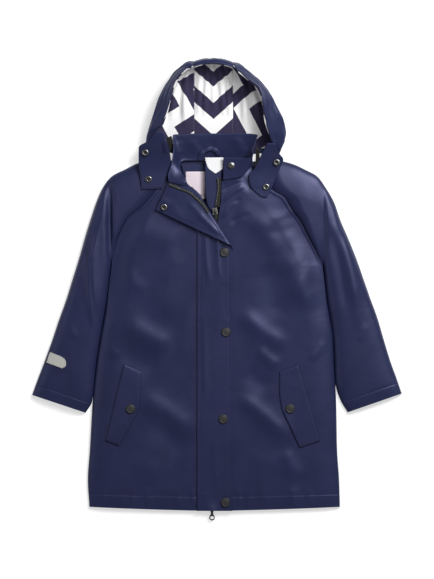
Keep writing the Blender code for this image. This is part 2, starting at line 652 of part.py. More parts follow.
def moved_in(grid, distance):
    """The hood's grid moved towards the bowl along its own normals."""
    normal = np.cross(np.gradient(grid, axis=0), np.gradient(grid, axis=1))
    normal /= np.maximum(np.linalg.norm(normal, axis=2, keepdims=True), 1e-9)
    if np.sum(normal * (np.array(BOWL) - grid)) < 0:
        normal = -normal
    return grid + normal * distance


def hood():
    """Three outer panels, each with its lining panel inside."""
    pieces = {}
    path = along(HOOD_PATH, np.linspace(0, 1, 16))
    layers = (("hood_", SHELL, CLOTH, 0.0, HOOD_SEAM),
              ("hood_lining_", LINING, THIN, CLOTH + LINING_GAP, LINING_SEAM))
    for layer, finish, thickness, inset, edge in layers:
        strip_x = np.linspace(HOOD_STRIP[0] + edge, HOOD_STRIP[1] - edge, 4)
        centre = np.array([[(x, bowed(x, y), z) for x in strip_x] for y, z in path])
        right = hood_side(HOOD_RIGHT, HOOD_STRIP[0], edge, 14)
        left = hood_side(HOOD_LEFT, HOOD_STRIP[1], edge, 14)
        for name, grid in (("centre", centre), ("right", right), ("left", left)):
            full = layer + name
            grid = moved_in(grid, inset)
            if inset and name != "centre":
                grid = grid[1:]
            pieces[full] = cloth(full, grid, thickness, finish, inner_side=BOWL)
    return pieces


# ---------------------------------------------------------------- hood tabs, collar, neck

def strip_grid(table, rows, spread):
    """A strip whose rows run between two edges that each have their own height."""
    table = resample(table, rows)
    share = np.asarray(spread)[None, :, None]
    return table[:, None, 0:3] * (1 - share) + table[:, None, 3:6] * share


def level_grid(table, rows, columns, z):
    """A level piece between the left and right edges that a table gives."""
    table = resample(table, rows)
    share = np.linspace(0, 1, columns)[None, :, None]
    plan = table[:, None, 0:2] * (1 - share) + table[:, None, 2:4] * share
    return np.dstack([plan, np.full(plan.shape[:2], z)])


def tabs(pieces):
    """The hood's front ends, lying on the shoulders, with the dark tape at their inner edges."""
    for side, table, tape in (("right", TAB_RIGHT, TAPE_RIGHT), ("left", TAB_LEFT, TAPE_LEFT)):
        under = [pieces["sleeve_" + side], pieces["front_" + side]]
        strip = laid(strip_grid(tape, 5, (0.0, 0.5, 1.0)), under, THIN)
        pieces["hood_tape_" + side] = cloth("hood_tape_" + side, strip, THIN, ZIP_CLOTH)
        grid = laid(ruled(table, 9, np.linspace(0, 1, 6)), under, CLOTH, reach=TAB_REACH)
        grid = laid(grid, [pieces["hood_tape_" + side]], CLOTH, reach=TAPE_REACH)
        pieces["hood_tab_" + side] = cloth("hood_tab_" + side, grid, CLOTH, SHELL)


def neck(pieces):
    """What shows in the neck opening: back facing, label, loop, zip guard and chin guard."""
    facing = level_grid(NECK_FACING, 5, 7, 3.2)
    pieces["neck_facing"] = cloth("neck_facing", facing, THIN, SHELL)
    label = laid(level_grid(LABEL, 3, 3, 4.8), [pieces["neck_facing"]], THIN)
    pieces["neck_label"] = cloth("neck_label", label, THIN, LABEL_CLOTH)
    guard = level_grid(GUARD, 7, 4, GUARD_Z)
    pieces["zip_guard"] = cloth("zip_guard", guard, CLOTH, SHELL)
    chin = level_grid(CHIN_GUARD, 6, 7, GUARD_Z + GAP + THIN)
    pieces["chin_guard"] = cloth("chin_guard", chin, THIN, PLAIN_LINING)


def collar(pieces):
    grid = strip_grid(COLLAR, COLLAR_ROWS, np.linspace(0, 1, 6))
    grid[COLLAR_TURN:] = laid(grid[COLLAR_TURN:], [pieces["storm_flap"]], CLOTH, reach=COLLAR_REACH)
    pieces["collar"] = cloth("collar", grid, CLOTH, SHELL)


def loop(pieces):
    """Hanging loop: a narrow strap in an arch on the collar's inner face."""
    tree = evaluated_tree([pieces["collar"]])
    centre = along(LOOP_PATH, np.linspace(0, 1, 13))
    ahead = np.gradient(centre, axis=0)
    ahead /= np.linalg.norm(ahead, axis=1, keepdims=True)
    side = np.column_stack([-ahead[:, 1], ahead[:, 0]]) * LOOP_WIDTH / 2
    grid = []
    for spot, out in zip(centre, side):
        row = [spot - out, spot, spot + out]
        z = max(top_of(tree, x, y, 2.0) for x, y in row) + GAP + CLOTH
        grid.append([(x, y, z) for x, y in row])
    pieces["hanging_loop"] = cloth("hanging_loop", np.array(grid), CLOTH, SHELL)


# ---------------------------------------------------------------- front edge

FLAP_STEPS = np.concatenate([(0.0, 0.012, 0.03), np.linspace(0.06, 1.0, 14)])
FOLD_ALONG = np.array([FOLD_B[0] - FOLD_A[0], FOLD_B[1] - FOLD_A[1]])
FOLD_ALONG = FOLD_ALONG / np.linalg.norm(FOLD_ALONG)
FOLD_ACROSS = np.array([-FOLD_ALONG[1], FOLD_ALONG[0]])


def fold_start_y(x):
    """Where the flap begins to bend, so that the bend reaches out to the line from A to B."""
    line = FOLD_A[1] + (x - FOLD_A[0]) * FOLD_ALONG[1] / FOLD_ALONG[0]
    return line - FOLD_RADIUS / FOLD_ACROSS[1]


def zip_closed(pieces):
    """The closed zip under the storm flap: two tapes with the chain raised between the fronts."""
    rows = np.linspace(ZIP_START, ZIP_END, 16)
    lean = smooth((ZIP_START, 440.0, ZIP_END), (0.0, 0.0, ZIP_SHIFT), rows)
    grid = [[(x + side, y, crown(y) - drop) for x, drop in ZIP_SECTION]
            for y, side in zip(rows, lean)]
    pieces["zip_closed"] = cloth("zip_closed", np.array(grid), THIN, ZIP_CLOTH)


def storm_flap(pieces):
    """One cloth: flat over the zip, then turned back over the roll at its top corner."""
    tree = evaluated_tree([pieces[n] for n in ("front_right", "front_left", "sleeve_right",
                                               "hood_tab_right", "zip_closed",
                                               "zip_bridge_bottom")])
    bend = math.pi * FOLD_RADIUS
    columns = []
    for x in FLAP_COLUMNS:
        start = fold_start_y(x)
        column = [(x, y, top_of(tree, x, y, 7.0) + GAP + CLOTH)
                  for y in start * FLAP_STEPS]
        reach = (FLAP_TOP - start) * FOLD_ACROSS[1]
        rest = bend + (reach - bend) * np.linspace(0, 1, 8)[1:]
        for s in np.concatenate([bend * np.linspace(0, 1, 7)[1:], rest]):
            foot = np.array([x, start + s / FOLD_ACROSS[1]]) - FOLD_ACROSS * s
            turn = min(s / bend, 1.0)
            over = FOLD_RADIUS * math.sin(math.pi * turn) - max(0.0, s - bend)
            spot = foot + FOLD_ACROSS * over
            lift = FOLD_RADIUS * (1 - math.cos(math.pi * turn))
            sink = smooth(SINK_AT, SINK, max(0.0, s - bend))
            base = top_of(tree, spot[0], spot[1], 6.0) + GAP + CLOTH
            column.append((spot[0], spot[1], base + lift - sink))
        columns.append(column)
    grid = np.array(columns).transpose(1, 0, 2)
    level = crown(FLAP_TOP) + GAP + CLOTH
    for k in range(len(FLAP_STEPS), len(grid)):
        grid[k, :, 2] = np.maximum(grid[k, :, 2], level)
    pieces["storm_flap"] = folded_cloth("storm_flap", grid, CLOTH, SHELL)


def folded_cloth(name, grid, thickness, finish):
    """A wall of cloth that turns back on itself: its first row faces up, and the wall is below."""
    made = cloth(name, grid, thickness, finish)
    first = made.data.polygons[0]
    if first.normal.z < 0:
        made.data.flip_normals()
    return made


def facing(pieces):
    """The rolled edge and inside face of the right front, from the collar to the slider."""
    grid = []
    for roll_x, roll_y, zip_x, zip_y in resample(FACING, 7):
        roll = np.array([roll_x, roll_y]) + FOLD_ACROSS * ROLL_OUT
        end = np.array([zip_x, zip_y])
        width = np.linalg.norm(roll - end)
        out = (roll - end) / width
        profile = ((-3.0, ROLL_Z - 12.0), (-0.3, ROLL_Z - 10.0), (0.0, ROLL_Z - 6.0),
                   (-0.6, ROLL_Z - 2.2), (-2.6, ROLL_Z - 0.5), (-0.62 * width, ROLL_Z),
                   (-width, ROLL_Z))
        grid.append([(*(roll + out * step), z) for step, z in profile])
    grid = np.array(grid)[:, ::-1]
    grid[:, :4] = laid(grid[:, :4], [pieces["storm_flap"]], CLOTH)
    pieces["facing_right"] = folded_cloth("facing_right", grid, CLOTH, SHELL)


def zip_halves(pieces):
    """The open halves of the zip above the slider."""
    path = along(ZIP_RIGHT, np.linspace(0, 1, 12))
    ahead = np.gradient(path, axis=0)
    ahead /= np.linalg.norm(ahead, axis=1, keepdims=True)
    side = np.column_stack([-ahead[:, 1], ahead[:, 0]]) * ZIP_HALF_WIDTH / 2
    grid = np.array([[(*(spot + out * k), 0.0) for k in (-1, 0, 1)]
                     for spot, out in zip(path, side)])
    grid = laid(grid, [pieces["storm_flap"]], THIN, reach=ZIP_REACH)
    pieces["zip_half_right"] = cloth("zip_half_right", grid, THIN, ZIP_CLOTH)
    left = level_grid(ZIP_LEFT, 12, 3, ZIP_LEFT_Z)
    pieces["zip_half_left"] = cloth("zip_half_left", left, THIN, ZIP_CLOTH)


# ---------------------------------------------------------------- pockets, patch, fasteners

def pockets(pieces):
    for side, table in (("right", POCKET_RIGHT), ("left", POCKET_LEFT)):
        grid = level_grid(table, 9, 5, 0.0)
        grid = laid(grid, [pieces["front_" + side]], CLOTH, reach=POCKET_REACH)
        pieces["pocket_flap_" + side] = cloth("pocket_flap_" + side, grid, CLOTH, SHELL)


def patch(pieces):
    grid = level_grid(PATCH, 6, 8, 0.0)
    grid = laid(grid, [pieces["sleeve_right"]], THIN)
    pieces["sleeve_patch"] = cloth("sleeve_patch", grid, THIN, PATCH_CLOTH)


def seat(pieces, under, x, y, radius):
    """Height for a round piece that lies on the highest point under it."""
    tree = evaluated_tree([pieces[name] for name in under])
    rings = [top_of(tree, x, y, radius * share) for share in (0.35, 0.7, 1.0)]
    return max(rings) + GAP


def fasteners(pieces):
    """Snap caps, sockets and the collar's stud."""
    r = CAP_RADIUS
    cap = ((0.0, 3.2), (0.35 * r, 3.0), (0.62 * r, 2.9), (0.7 * r, 3.2), (0.92 * r, 2.6),
           (r, 1.4), (0.94 * r, 0.0), (0.0, 0.0))
    for number, (x, y) in enumerate(FLAP_CAPS, 1):
        at = (x, y, seat(pieces, ["storm_flap"], x, y, r))
        pieces["snap_front_%d" % number] = turned("snap_front_%d" % number, cap, at, CAP_METAL)
    for side, x, y in POCKET_CAPS:
        at = (x, y, seat(pieces, ["pocket_flap_" + side], x, y, r))
        pieces["snap_pocket_" + side] = turned("snap_pocket_" + side, cap, at, CAP_METAL)
    r = SOCKET_RADIUS
    socket = ((0.0, 0.8), (0.42 * r, 0.8), (0.46 * r, 2.0), (0.62 * r, 2.5), (0.88 * r, 2.1),
              (r, 0.9), (0.95 * r, 0.0), (0.0, 0.0))
    for place, x, y in TAB_SOCKETS:
        under = "hood_tab_" + place.split("_")[0]
        at = (x, y, seat(pieces, [under], x, y, r))
        pieces["snap_socket_" + place] = turned("snap_socket_" + place, socket, at, SOCKET_METAL)
    at = (*FLAP_SOCKET, seat(pieces, ["storm_flap"], *FLAP_SOCKET, r))
    pieces["snap_socket_flap"] = turned("snap_socket_flap", socket, at, SOCKET_METAL)
    stud = ((0.0, 3.4), (0.34 * r, 3.4), (0.42 * r, 2.8), (0.38 * r, 1.4), (0.6 * r, 1.3),
            (0.9 * r, 1.2), (r, 0.5), (0.97 * r, 0.0), (0.0, 0.0))
    at = (*STUD, seat(pieces, ["collar"], *STUD, r))
    pieces["snap_stud_collar"] = turned("snap_stud_collar", stud, at, SOCKET_METAL)


def plate(name, outline, holes, thickness, at, turn, finish):
    """A flat metal piece cut to an outline, with holes."""
    curve = bpy.data.curves.new(name, "CURVE")
    curve.dimensions = "2D"
    curve.fill_mode = "BOTH"
    curve.extrude = thickness * MM / 2
    for points in (outline, *holes):
        spline = curve.splines.new("POLY")
        spline.points.add(len(points) - 1)
        for point, (x, y) in zip(spline.points, points):
            point.co = (x * MM, y * MM, 0.0, 1.0)
        spline.use_cyclic_u = True
    source = bpy.data.objects.new(name + "_curve", curve)
    bpy.context.scene.collection.objects.link(source)
    view = bpy.context.evaluated_depsgraph_get()
    mesh = bpy.data.meshes.new_from_object(source.evaluated_get(view))
    bpy.data.objects.remove(source)
    weld = bmesh.new()
    weld.from_mesh(mesh)
    bmesh.ops.remove_doubles(weld, verts=weld.verts, dist=0.00001)
    bmesh.ops.triangulate(weld, faces=[f for f in weld.faces if len(f.verts) > 4])
    bmesh.ops.recalc_face_normals(weld, faces=weld.faces)
    weld.to_mesh(mesh)
    weld.free()
    mesh.name = name
    made = add_object(name, mesh, finish)
    made.location = placed(at)
    made.rotation_euler = turn
    return made


def box(name, size, at, turn, finish):
    mesh = bpy.data.meshes.new(name)
    build = bmesh.new()
    bmesh.ops.create_cube(build, size=1.0)
    bmesh.ops.scale(build, vec=[side * MM for side in size], verts=build.verts)
    build.to_mesh(mesh)
    build.free()
    made = add_object(name, mesh, finish)
    made.location = placed(at)
    made.rotation_euler = (0.0, 0.0, turn)
    edge = made.modifiers.new("edge", "BEVEL")
    edge.width = 0.7 * MM
    edge.segments = 2
    return made


def pull_outline(length, half, neck):
    """Outline of a pull: down from its pin bar past the waist, round the ring or tip and back."""
    middle = -length + half
    points = list(neck) + [(half * math.cos(a), middle + half * math.sin(a))
                           for a in np.radians(np.linspace(RING_FROM, 270, 7))]
    return points + [(-x, y) for x, y in points[-2::-1]]


def oval(radius_x, radius_y, centre_y, count):
    return [(radius_x * math.cos(a), centre_y + radius_y * math.sin(a))
            for a in np.linspace(0, 2 * math.pi, count, endpoint=False)]


def sliders(pieces):
    """Both sliders as shown, each with a bridge that holds its pull."""
    for place, x, y, z, degrees, width, length in SLIDERS:
        turn = math.radians(degrees)
        size = (width, length, SLIDER_HEIGHT)
        name = "zip_slider_" + place
        pieces[name] = box(name, size, (x, y, z + SLIDER_HEIGHT / 2), turn, CAP_METAL)
        foot = z + SLIDER_HEIGHT + 0.02
        half = BRIDGE_HALF
        inside = half - BRIDGE_BAR
        top = BRIDGE_HEIGHT
        arch = [(-half, 0), (-half, top - 0.8), (-half + 0.8, top), (half - 0.8, top),
                (half, top - 0.8), (half, 0), (inside, 0), (inside, top - BRIDGE_BAR),
                (-inside, top - BRIDGE_BAR), (-inside, 0)]
        name = "zip_bridge_" + place
        pieces[name] = plate(name, arch, [], BRIDGE_WIDTH, (x, y, foot),
                             (math.pi / 2, 0.0, turn + math.pi / 2), CAP_METAL)
        long, wide, slope, waist = PULL_TOP if place == "top" else PULL_BOTTOM
        pin = (x + PIN_BACK * math.sin(turn), y - PIN_BACK * math.cos(turn), foot + PIN_UP)
        holes = [PULL_HOLE]
        if place == "bottom":
            holes.append(oval(0.66 * wide, 0.58 * wide, -long + wide, 14))
        name = "zip_pull_" + place
        pieces[name] = plate(name, pull_outline(long, wide, waist), holes, PULL_THICKNESS, pin,
                             (math.radians(slope), 0.0, turn), CAP_METAL)


def main():
    for item in list(bpy.data.objects):
        bpy.data.objects.remove(item)
    group = bpy.data.collections.get(NAME) or bpy.data.collections.new(NAME)
    if group.name not in bpy.context.scene.collection.children:
        bpy.context.scene.collection.children.link(group)
    pieces = body()
    pieces.update(hood())
    for make in (tabs, neck, zip_closed, sliders, storm_flap, collar, loop, facing, zip_halves,
                 pockets, patch, fasteners):
        make(pieces)


main()
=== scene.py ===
"""Looks of the child's hooded raincoat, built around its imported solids.

Tables are in millimetres: x runs from the wearer's right sleeve to the left one, y from the hem
to the hood, z up from the surface the coat lies on. placed() turns them into the model's metres.
"""
import math

import bpy
import numpy as np
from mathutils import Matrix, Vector
from mathutils.bvhtree import BVHTree
from numpy.linalg import norm

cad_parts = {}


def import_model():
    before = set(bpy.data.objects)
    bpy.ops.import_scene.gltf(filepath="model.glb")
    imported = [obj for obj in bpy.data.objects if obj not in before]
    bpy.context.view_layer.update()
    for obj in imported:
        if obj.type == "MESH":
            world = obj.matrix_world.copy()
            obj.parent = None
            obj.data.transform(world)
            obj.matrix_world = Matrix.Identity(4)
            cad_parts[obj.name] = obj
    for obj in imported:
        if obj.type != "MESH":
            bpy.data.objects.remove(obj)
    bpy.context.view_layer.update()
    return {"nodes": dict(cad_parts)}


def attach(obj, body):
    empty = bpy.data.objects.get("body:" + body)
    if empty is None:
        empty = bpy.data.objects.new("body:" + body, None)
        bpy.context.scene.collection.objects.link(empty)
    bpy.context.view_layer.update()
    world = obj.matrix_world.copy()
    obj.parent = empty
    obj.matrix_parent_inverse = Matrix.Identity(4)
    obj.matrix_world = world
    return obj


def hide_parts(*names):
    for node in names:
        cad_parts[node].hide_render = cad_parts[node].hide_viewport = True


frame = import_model()

MM = 0.001
MIDDLE = (-0.1, 387.2, 0.0)  # of the whole outline, in the tables' frame
CLOTH = 1.5  # coated shell cloth
THIN = 1.1  # lining, tape and label cloth
CLOTH_LOOK = "coated_navy"
GAP = 0.3  # between a piece and what it lies on
SEAM_GAP = 1.0  # between a front and its sleeve in CAD, along x
REACH = 4.0  # round a point, within which what it lies on is felt for
BELOW = (0.0, 387.5, -9000.0)  # the inner side of a piece that faces up
BOWL = (-6.0, 700.0, 60.0)  # the inner side of the hood
INSIDE = {"right": 1.0, "left": -1.0}  # towards the coat's middle, along x

# Side seams from the hem to the underarm, and the front edge beside each row.
# Columns: side_x, side_y, zip_x, zip_y.
SIDE = {
    "right": (
        (-223, 7, -12.3, 0), (-225.8, 54, -12.3, 50), (-222.3, 107, -12.3, 105),
        (-217.5, 190, -12.3, 187), (-210, 262.5, -12.3, 258), (-203, 308, -12.3, 302),
        (-192.5, 366, -12.3, 360), (-183.8, 436, -12.3, 424)),
    "left": (
        (214.9, 7, -5.3, 0), (213.5, 54, -5.3, 50), (210, 107, -5.3, 105), (208.3, 190, -5.3, 187),
        (204.2, 262.5, -5.3, 258), (202.5, 304.5, -5.3, 300), (191.5, 369, -5.3, 360),
        (185, 428, -5.3, 416))}
# Front edge above the underarm row: the right one follows the turned-back roll.
EDGE = {
    "right": (
        (-12.3, 424), (-12.3, 480), (-14.5, 510), (-31, 540), (-46, 558), (-60, 577), (-68.5, 598)),
    "left": (
        (-5.3, 416), (-3, 452), (0, 490), (4, 522), (7.3, 548), (7.6, 577.5))}
# Raglan seams, from the neck to the underarm.
RAGLAN = {
    "right": (
        (-80, 614), (-96.3, 580), (-108.5, 560), (-135.5, 530.3), (-154, 516.3), (-171, 487.2),
        (-178.5, 469), (-183.8, 438)),
    "left": (
        (64, 612), (82.3, 575.8), (98, 560.9), (119, 547.8), (131.3, 528.5), (148.8, 505.8),
        (161, 482), (175, 455), (185, 430))}
# Sleeves from the cuff up: outer edge, inner edge, thickness as laid.
# Columns: outer_x, outer_y, inner_x, inner_y, height.
SLEEVE = {
    "right": (
        (-323.8, 203, -230, 171.6, 12), (-315, 227.5, -218.6, 192, 14),
        (-301, 264.3, -215.3, 220.5, 15), (-287.9, 301, -211, 262, 15.5),
        (-276.5, 335.1, -206.2, 293, 16), (-264.3, 369.3, -200.4, 327.3, 16.5),
        (-252.9, 406, -194.5, 360.5, 17), (-241.5, 442.8, -189.9, 393.8, 17),
        (-230.1, 483, -186.6, 420, 17), (-220.5, 513.6, -185.6, 426, 17),
        (-210, 544.3, -185.3, 429, 17), (-199.5, 567, -185, 431, 17),
        (-183.8, 586.3, -184.7, 433, 17), (-160, 598.5, -184.4, 434.8, 17),
        (-140, 608.5, -184.1, 436.4, 17), (-112, 616.5, -183.8, 438, 17)),
    "left": (
        (323.6, 205.5, 228.6, 172.5, 12), (315.5, 229.3, 216, 194, 14),
        (303, 264.3, 207.6, 222, 15), (292.3, 299.3, 205.4, 259, 15.5), (281, 337.8, 204, 293, 16),
        (269.5, 369.3, 199.2, 330, 16.5), (257.3, 404.3, 194.4, 358, 17),
        (245, 439.3, 190.3, 389, 17), (231, 474.3, 188.1, 410, 17), (217, 507, 187.3, 417.5, 17),
        (204.8, 541, 186.9, 420.5, 17), (190.8, 565.3, 186.7, 423, 17),
        (175, 586.3, 186.5, 425, 17), (155.8, 596.8, 186.3, 427, 17), (133, 607.3, 186, 428.5, 17),
        (100, 616, 185, 430, 17))}
RAGLAN_BOW_FROM = 8  # the row from which the rings bend to the raglan seam
RAGLAN_BOW_POWER = 1.3
RING_EDGE = 2.2  # height of a sleeve's rings at their ends
RING_POWER = 3.4  # how flat the rings are: 2 is a circle
SLEEVE_LOW = 2.0  # folds don't press a sleeve below this
# In rows of its table: a sleeve's even rows keep this clear of the cuff's stitches, which have
# rows of their own beside them, and so has the cuff's edge.
CUFF_CLEAR = 0.08
CUFF_ROWS = (-0.07, -0.04, -0.02, 0.0, 0.02, 0.04, 0.07)
CUFF_EDGE_ROWS = (0.015, 0.04, 0.08)

# Height of the fronts' outer face over the length.
CROWN_Y = (0, 50, 165, 306, 435, 515, 620)
CROWN_Z = (8, 11.5, 14.5, 15.5, 17.5, 18, 18)
SIDE_Z = 3.0
SIDE_ROLL = 42.0  # the front rounds down to the side seam over this width
SEAM_ROLL = 42.0  # and to the raglan seam over this one
CREASE_ROLL = 30.0  # over which creases fade out towards those seams
SEAM_LINE = 0.35  # from a raglan seam's sleeve to the front beside it
UNDERARM = 110.0  # length of side below the underarm over which its roll softens
UNDERARM_RISE = 6.5
SEAM_MEET = 0.85  # share of the seam over which a front comes up to its sleeve
SIDE_OUT = 0.45  # how far the body's sides swell towards the sleeves
BACK_OUT = 1.8  # how much further the back reaches under the sleeves,
BACK_OUT_FROM = {"right": 200.0, "left": 215.0}  # from here up,
BACK_OUT_OVER = 20.0  # easing in over this length
HEM_RISE = 7.0  # how much higher the hem's corners lie than its middle
SIDE_Y = 6.0  # how much higher the side seams start than the zip
HEM_FADE = 130.0  # the hem's curve fades out over this length of a front,
HEM_FADE_ROWS = 18.0  # and over this many rows of the back
WELT_RISE = 0.8  # the raglan seam's allowance under its topstitching:
WELT_FADE = 0.16  # share of the seam over which it rises from the underarm,
WELT_TO = 6.6  # where it ends
WELT_STEP = 1.4  # and over what width

# Folds and creases of the cloth, broad ones first: ends, half width, height (troughs are
# negative), sideways bow, and the right side's half width where it is steeper than the left.
CREASES = (
    (-224, 490, -208, 330, 12, 1.8), (228, 490, 250, 350, 12, 1.8), (-70, 470, -95, 330, 22, 1.6),
    (60, 520, 120, 440, 18, 1.8), (-120, 100, -100, 10, 22, 1.5), (90, 110, 80, 5, 24, 1.5),
    (-186, 606, -184, 420, 7, -7, 2, 3.4), (183, 616, 186, 410, 20, -3.4, -2, 5),
    (-208, 530, -210, 300, 3.4, 2.2, 16, 5), (-200, 520, -204, 330, 4, 1.2, 14),
    (-222, 500, -240, 352, 8, -1.4, 6), (206, 520, 250, 300, 13, 1.8, -8, 8),
    (200, 500, 226, 340, 9, -1.3, -4), (216, 572, 206, 470, 12, 1.6, -3),
    (-166, 336, -74, 284, 19, 3.4, 4), (-172, 286, -96, 246, 22, -2.2, 4),
    (-142, 206, -38, 130, 19, 3.4, -4), (-120, 160, -50, 96, 22, -2.2, -4),
    (-150, 500, -60, 470, 26, 2.2, 5), (116, 462, 170, 346, 20, 3, 3),
    (92, 440, 110, 330, 20, -2, 5), (34, 352, 128, 284, 15, 3, 3), (70, 288, 112, 250, 11, 2, 3),
    (50, 250, 96, 214, 16, -1.8, 4), (30, 206, 128, 120, 15, 3.2, -5),
    (116, 110, 148, 52, 13, 2.4, 2), (30, 530, 110, 500, 20, 1.8, 6),
    (90, 508, 150, 534, 6, 0.6, 2), (84, 486, 142, 500, 8, -0.5, 3),
    (-96, 545, -60, 500, 9, 1.1, 2), (40, 592, 64, 560, 7, -1.2, 3), (6, 574, 48, 592, 2.6, 1, 2),
    (6, 558, 50, 576, 2.8, -1, -3), (8, 536, 52, 570, 3, 1.2, -5), (8, 508, 40, 544, 2.8, 1.3, -5),
    (22, 500, 62, 520, 4, -1, -4), (16, 520, 46, 548, 2.4, -0.8, -4),
    (-170, 440, -120, 380, 12, 1, 6), (168, 436, 120, 372, 12, 1, -6),
    (-40, 380, -60, 250, 14, 0.9, 4), (60, 360, 74, 250, 16, 0.9, -4),
    (-196, 300, -170, 268, 7, 0.9, 2), (190, 300, 160, 262, 7, 0.9, -2),
    (-80, 90, -86, 18, 10, 0.8, 2), (120, 96, 128, 12, 11, 0.8, -2),
    (-260, 330, -244, 300, 6, 0.8, 2), (262, 330, 246, 296, 6, 0.8, -2))
CREASE_TAPER = 3.5  # creases fade in over a length divided by this
# Small puckers across the hem's stitching: how many, their spacing and where the first is.
HEM_PUCKERS = (24, 17.0, -196.0)
# Ripples down the storm flap below its turned-back corner.
FLAP_RIPPLES = (
    (-20, 515, -14, 395, 4, 1.4, 2), (-11, 500, -5, 400, 3.4, -1.1, 2),
    (-2, 490, 3, 405, 4, 1.2, -2), (8, 470, 10, 410, 3.6, -0.9, 1), (-22, 350, -18, 180, 5, 0.6, 2),
    (16, 400, 20, 330, 4, -0.7, 1), (-4, 140, 0, 30, 5, 0.5, 1))
# Soft dents of the turned-back corner and of the collar's inner face.
LAPEL_FOLDS = (
    (-34, 524, 10, 482, 4.5, 1.3, 2), (-70, 556, -48, 522, 6, -1, 3),
    (-10, 512, 20, 468, 3.2, -1, 1), (-52, 540, -22, 505, 6, 0.9, -3),
    (-100, 548, -82, 536, 6, 0.8, 1))
COLLAR_FOLDS = (
    (-46, 652, -26, 622, 7, 1.5, 2), (-14, 650, -4, 636, 6, -1, 1), (30, 656, 44, 624, 7, 1.5, -2),
    (56, 646, 60, 622, 5, -1.2, 1), (-66, 650, -62, 622, 6, 1.2, 1),
    (-57, 616, -50, 566, 13, 4.6, 1), (-80, 616, -86, 570, 7, -1.6, 1))
LOWEST_DENT = -0.2  # of the storm flap, which mustn't sink into what it lies on

# Storm flap, as cut, and the line its top corner is turned back on.
FLAP_EDGES = (-35.0, 27.0)
FLAP_TOP = 612.0
FLAP_FLAT = 450.0  # about how much of it lies flat
FLAP_STITCH = 7.0  # from its free edge to the topstitching there
FLAP_STEP = 2.2  # spacing of its columns
CORNER_FOLDS = 6  # rows from where its corner bends to the first that the lapel's folds touch,
CORNER_STITCH = 14  # to the first with stitches beside it,
CORNER_TOP = 18  # and to the first of its turned-back top
FOLD_A = (-35.0, 558.0)
FOLD_B = (27.0, 460.0)
FOLD_RADIUS = 3.2
# How far the turned corner sinks towards what lies under it, by distance from the fold.
SINK_AT = (0.0, 25.0, 70.0, 150.0)
SINK = (0.0, 0.6, 4.5, 5.0)
RIDGE = (3.2, 1.9, 1.8)  # of its free edge: place, height, half width
# Its hem stands up a little over the bottom pull: place, half width, length, rise.
PULL_ROOM = (-9.0, 9.0, 18.0, 1.8)

# The facing's rolled edge runs from the collar down to the slider, close beside the zip.
# Columns: roll_x, roll_y, zip_x, zip_y.
FACING_EDGE = (
    (-57.5, 572.5, -66, 566), (-49.5, 564.5, -51, 560.5), (-39.5, 557, -39, 552.5),
    (-30, 549, -29, 544.5))
ROLL_OUT = 4.8  # how far the facing's roll reaches past the flap's
ROLL_Z = 28.4

# Hood: centre strip's path (y, z) from the neck over the back of the head to the brow.
HOOD_PATH = (
    (611.5, 0), (640, 0), (672, 0), (702, 0), (730, 0), (753, 2), (771, 8), (784, 17), (793, 31),
    (790, 45), (783, 50))
HOOD_STRIP = {"right": -40.0, "left": 28.0}
RIM_TRIM = 0.3  # a side panel's trim at the rim, as a share of that at the strip
HOOD_TOP_X = -8.0
HOOD_BOW = 0.006  # fall of the strip per square millimetre beside its middle
HOOD_BOW_FROM = 640.0
HOOD_BOW_OVER = 130.0
LINING_GAP = 1.35  # between the hood's cloth and its lining
LINING_START = 8  # first row of the side linings, short of the hood's ends
# Columns: path_row, ground_x, ground_y, ground_z, wide_x, wide_y, wide_z, rim_x, rim_y, rim_z.
HOOD = {
    "right": (
        (0, -98, 633, 0, -125, 642, 20, -107, 653, 31),
        (0.35, -95, 639, 0, -124, 650, 21.5, -106, 661.5, 33.9),
        (0.7, -90, 646, 0, -123, 657, 22, -99.5, 669.5, 40),
        (1, -88, 652, 0, -121.5, 663, 24, -97, 674, 44),
        (2, -88, 680, 0, -115.5, 682, 26, -92, 687, 47),
        (3, -84, 706, 0, -108.5, 703, 28, -87, 703, 49),
        (4, -78, 732, 0.5, -99.8, 726, 29, -82.6, 724, 50),
        (5, -72, 752, 3, -88.5, 746.5, 30, -76, 745, 50),
        (6, -62, 768, 9, -76, 765.5, 31, -68.5, 760, 50),
        (7, -54, 779, 20, -63.5, 778, 33, -60, 769, 50),
        (8, -47, 787, 33, -52, 785, 39, -52, 774, 50),
        (9.5, -41.5, 781, 48, -43, 780, 49, -45, 775, 50)),
    "left": (
        (0, 74, 626, 0, 108, 622, 13, 97, 628, 20.5),
        (0.35, 75, 634, 0, 114, 636, 19, 97.5, 640, 31),
        (0.7, 72, 642, 0, 119, 648, 20, 94.5, 652, 37), (1, 74, 648, 0, 121, 660, 22, 91, 662, 42),
        (2, 80, 678, 0, 117, 683, 25, 84.5, 683, 46), (3, 76, 706, 0, 107, 704, 27, 82, 703, 48),
        (4, 68, 731, 0.5, 94, 727, 29, 80, 723, 50), (5, 60, 751, 3, 80.5, 745.5, 30, 73, 740, 50),
        (6, 50, 766, 9, 67.5, 759, 31, 62, 750, 50), (7, 42, 777, 20, 54, 770, 33, 51, 759, 50),
        (8, 36, 784, 33, 42, 778, 39, 41, 767, 50),
        (9.5, 29.5, 781, 48, 31, 779.5, 49, 33, 774, 50))}
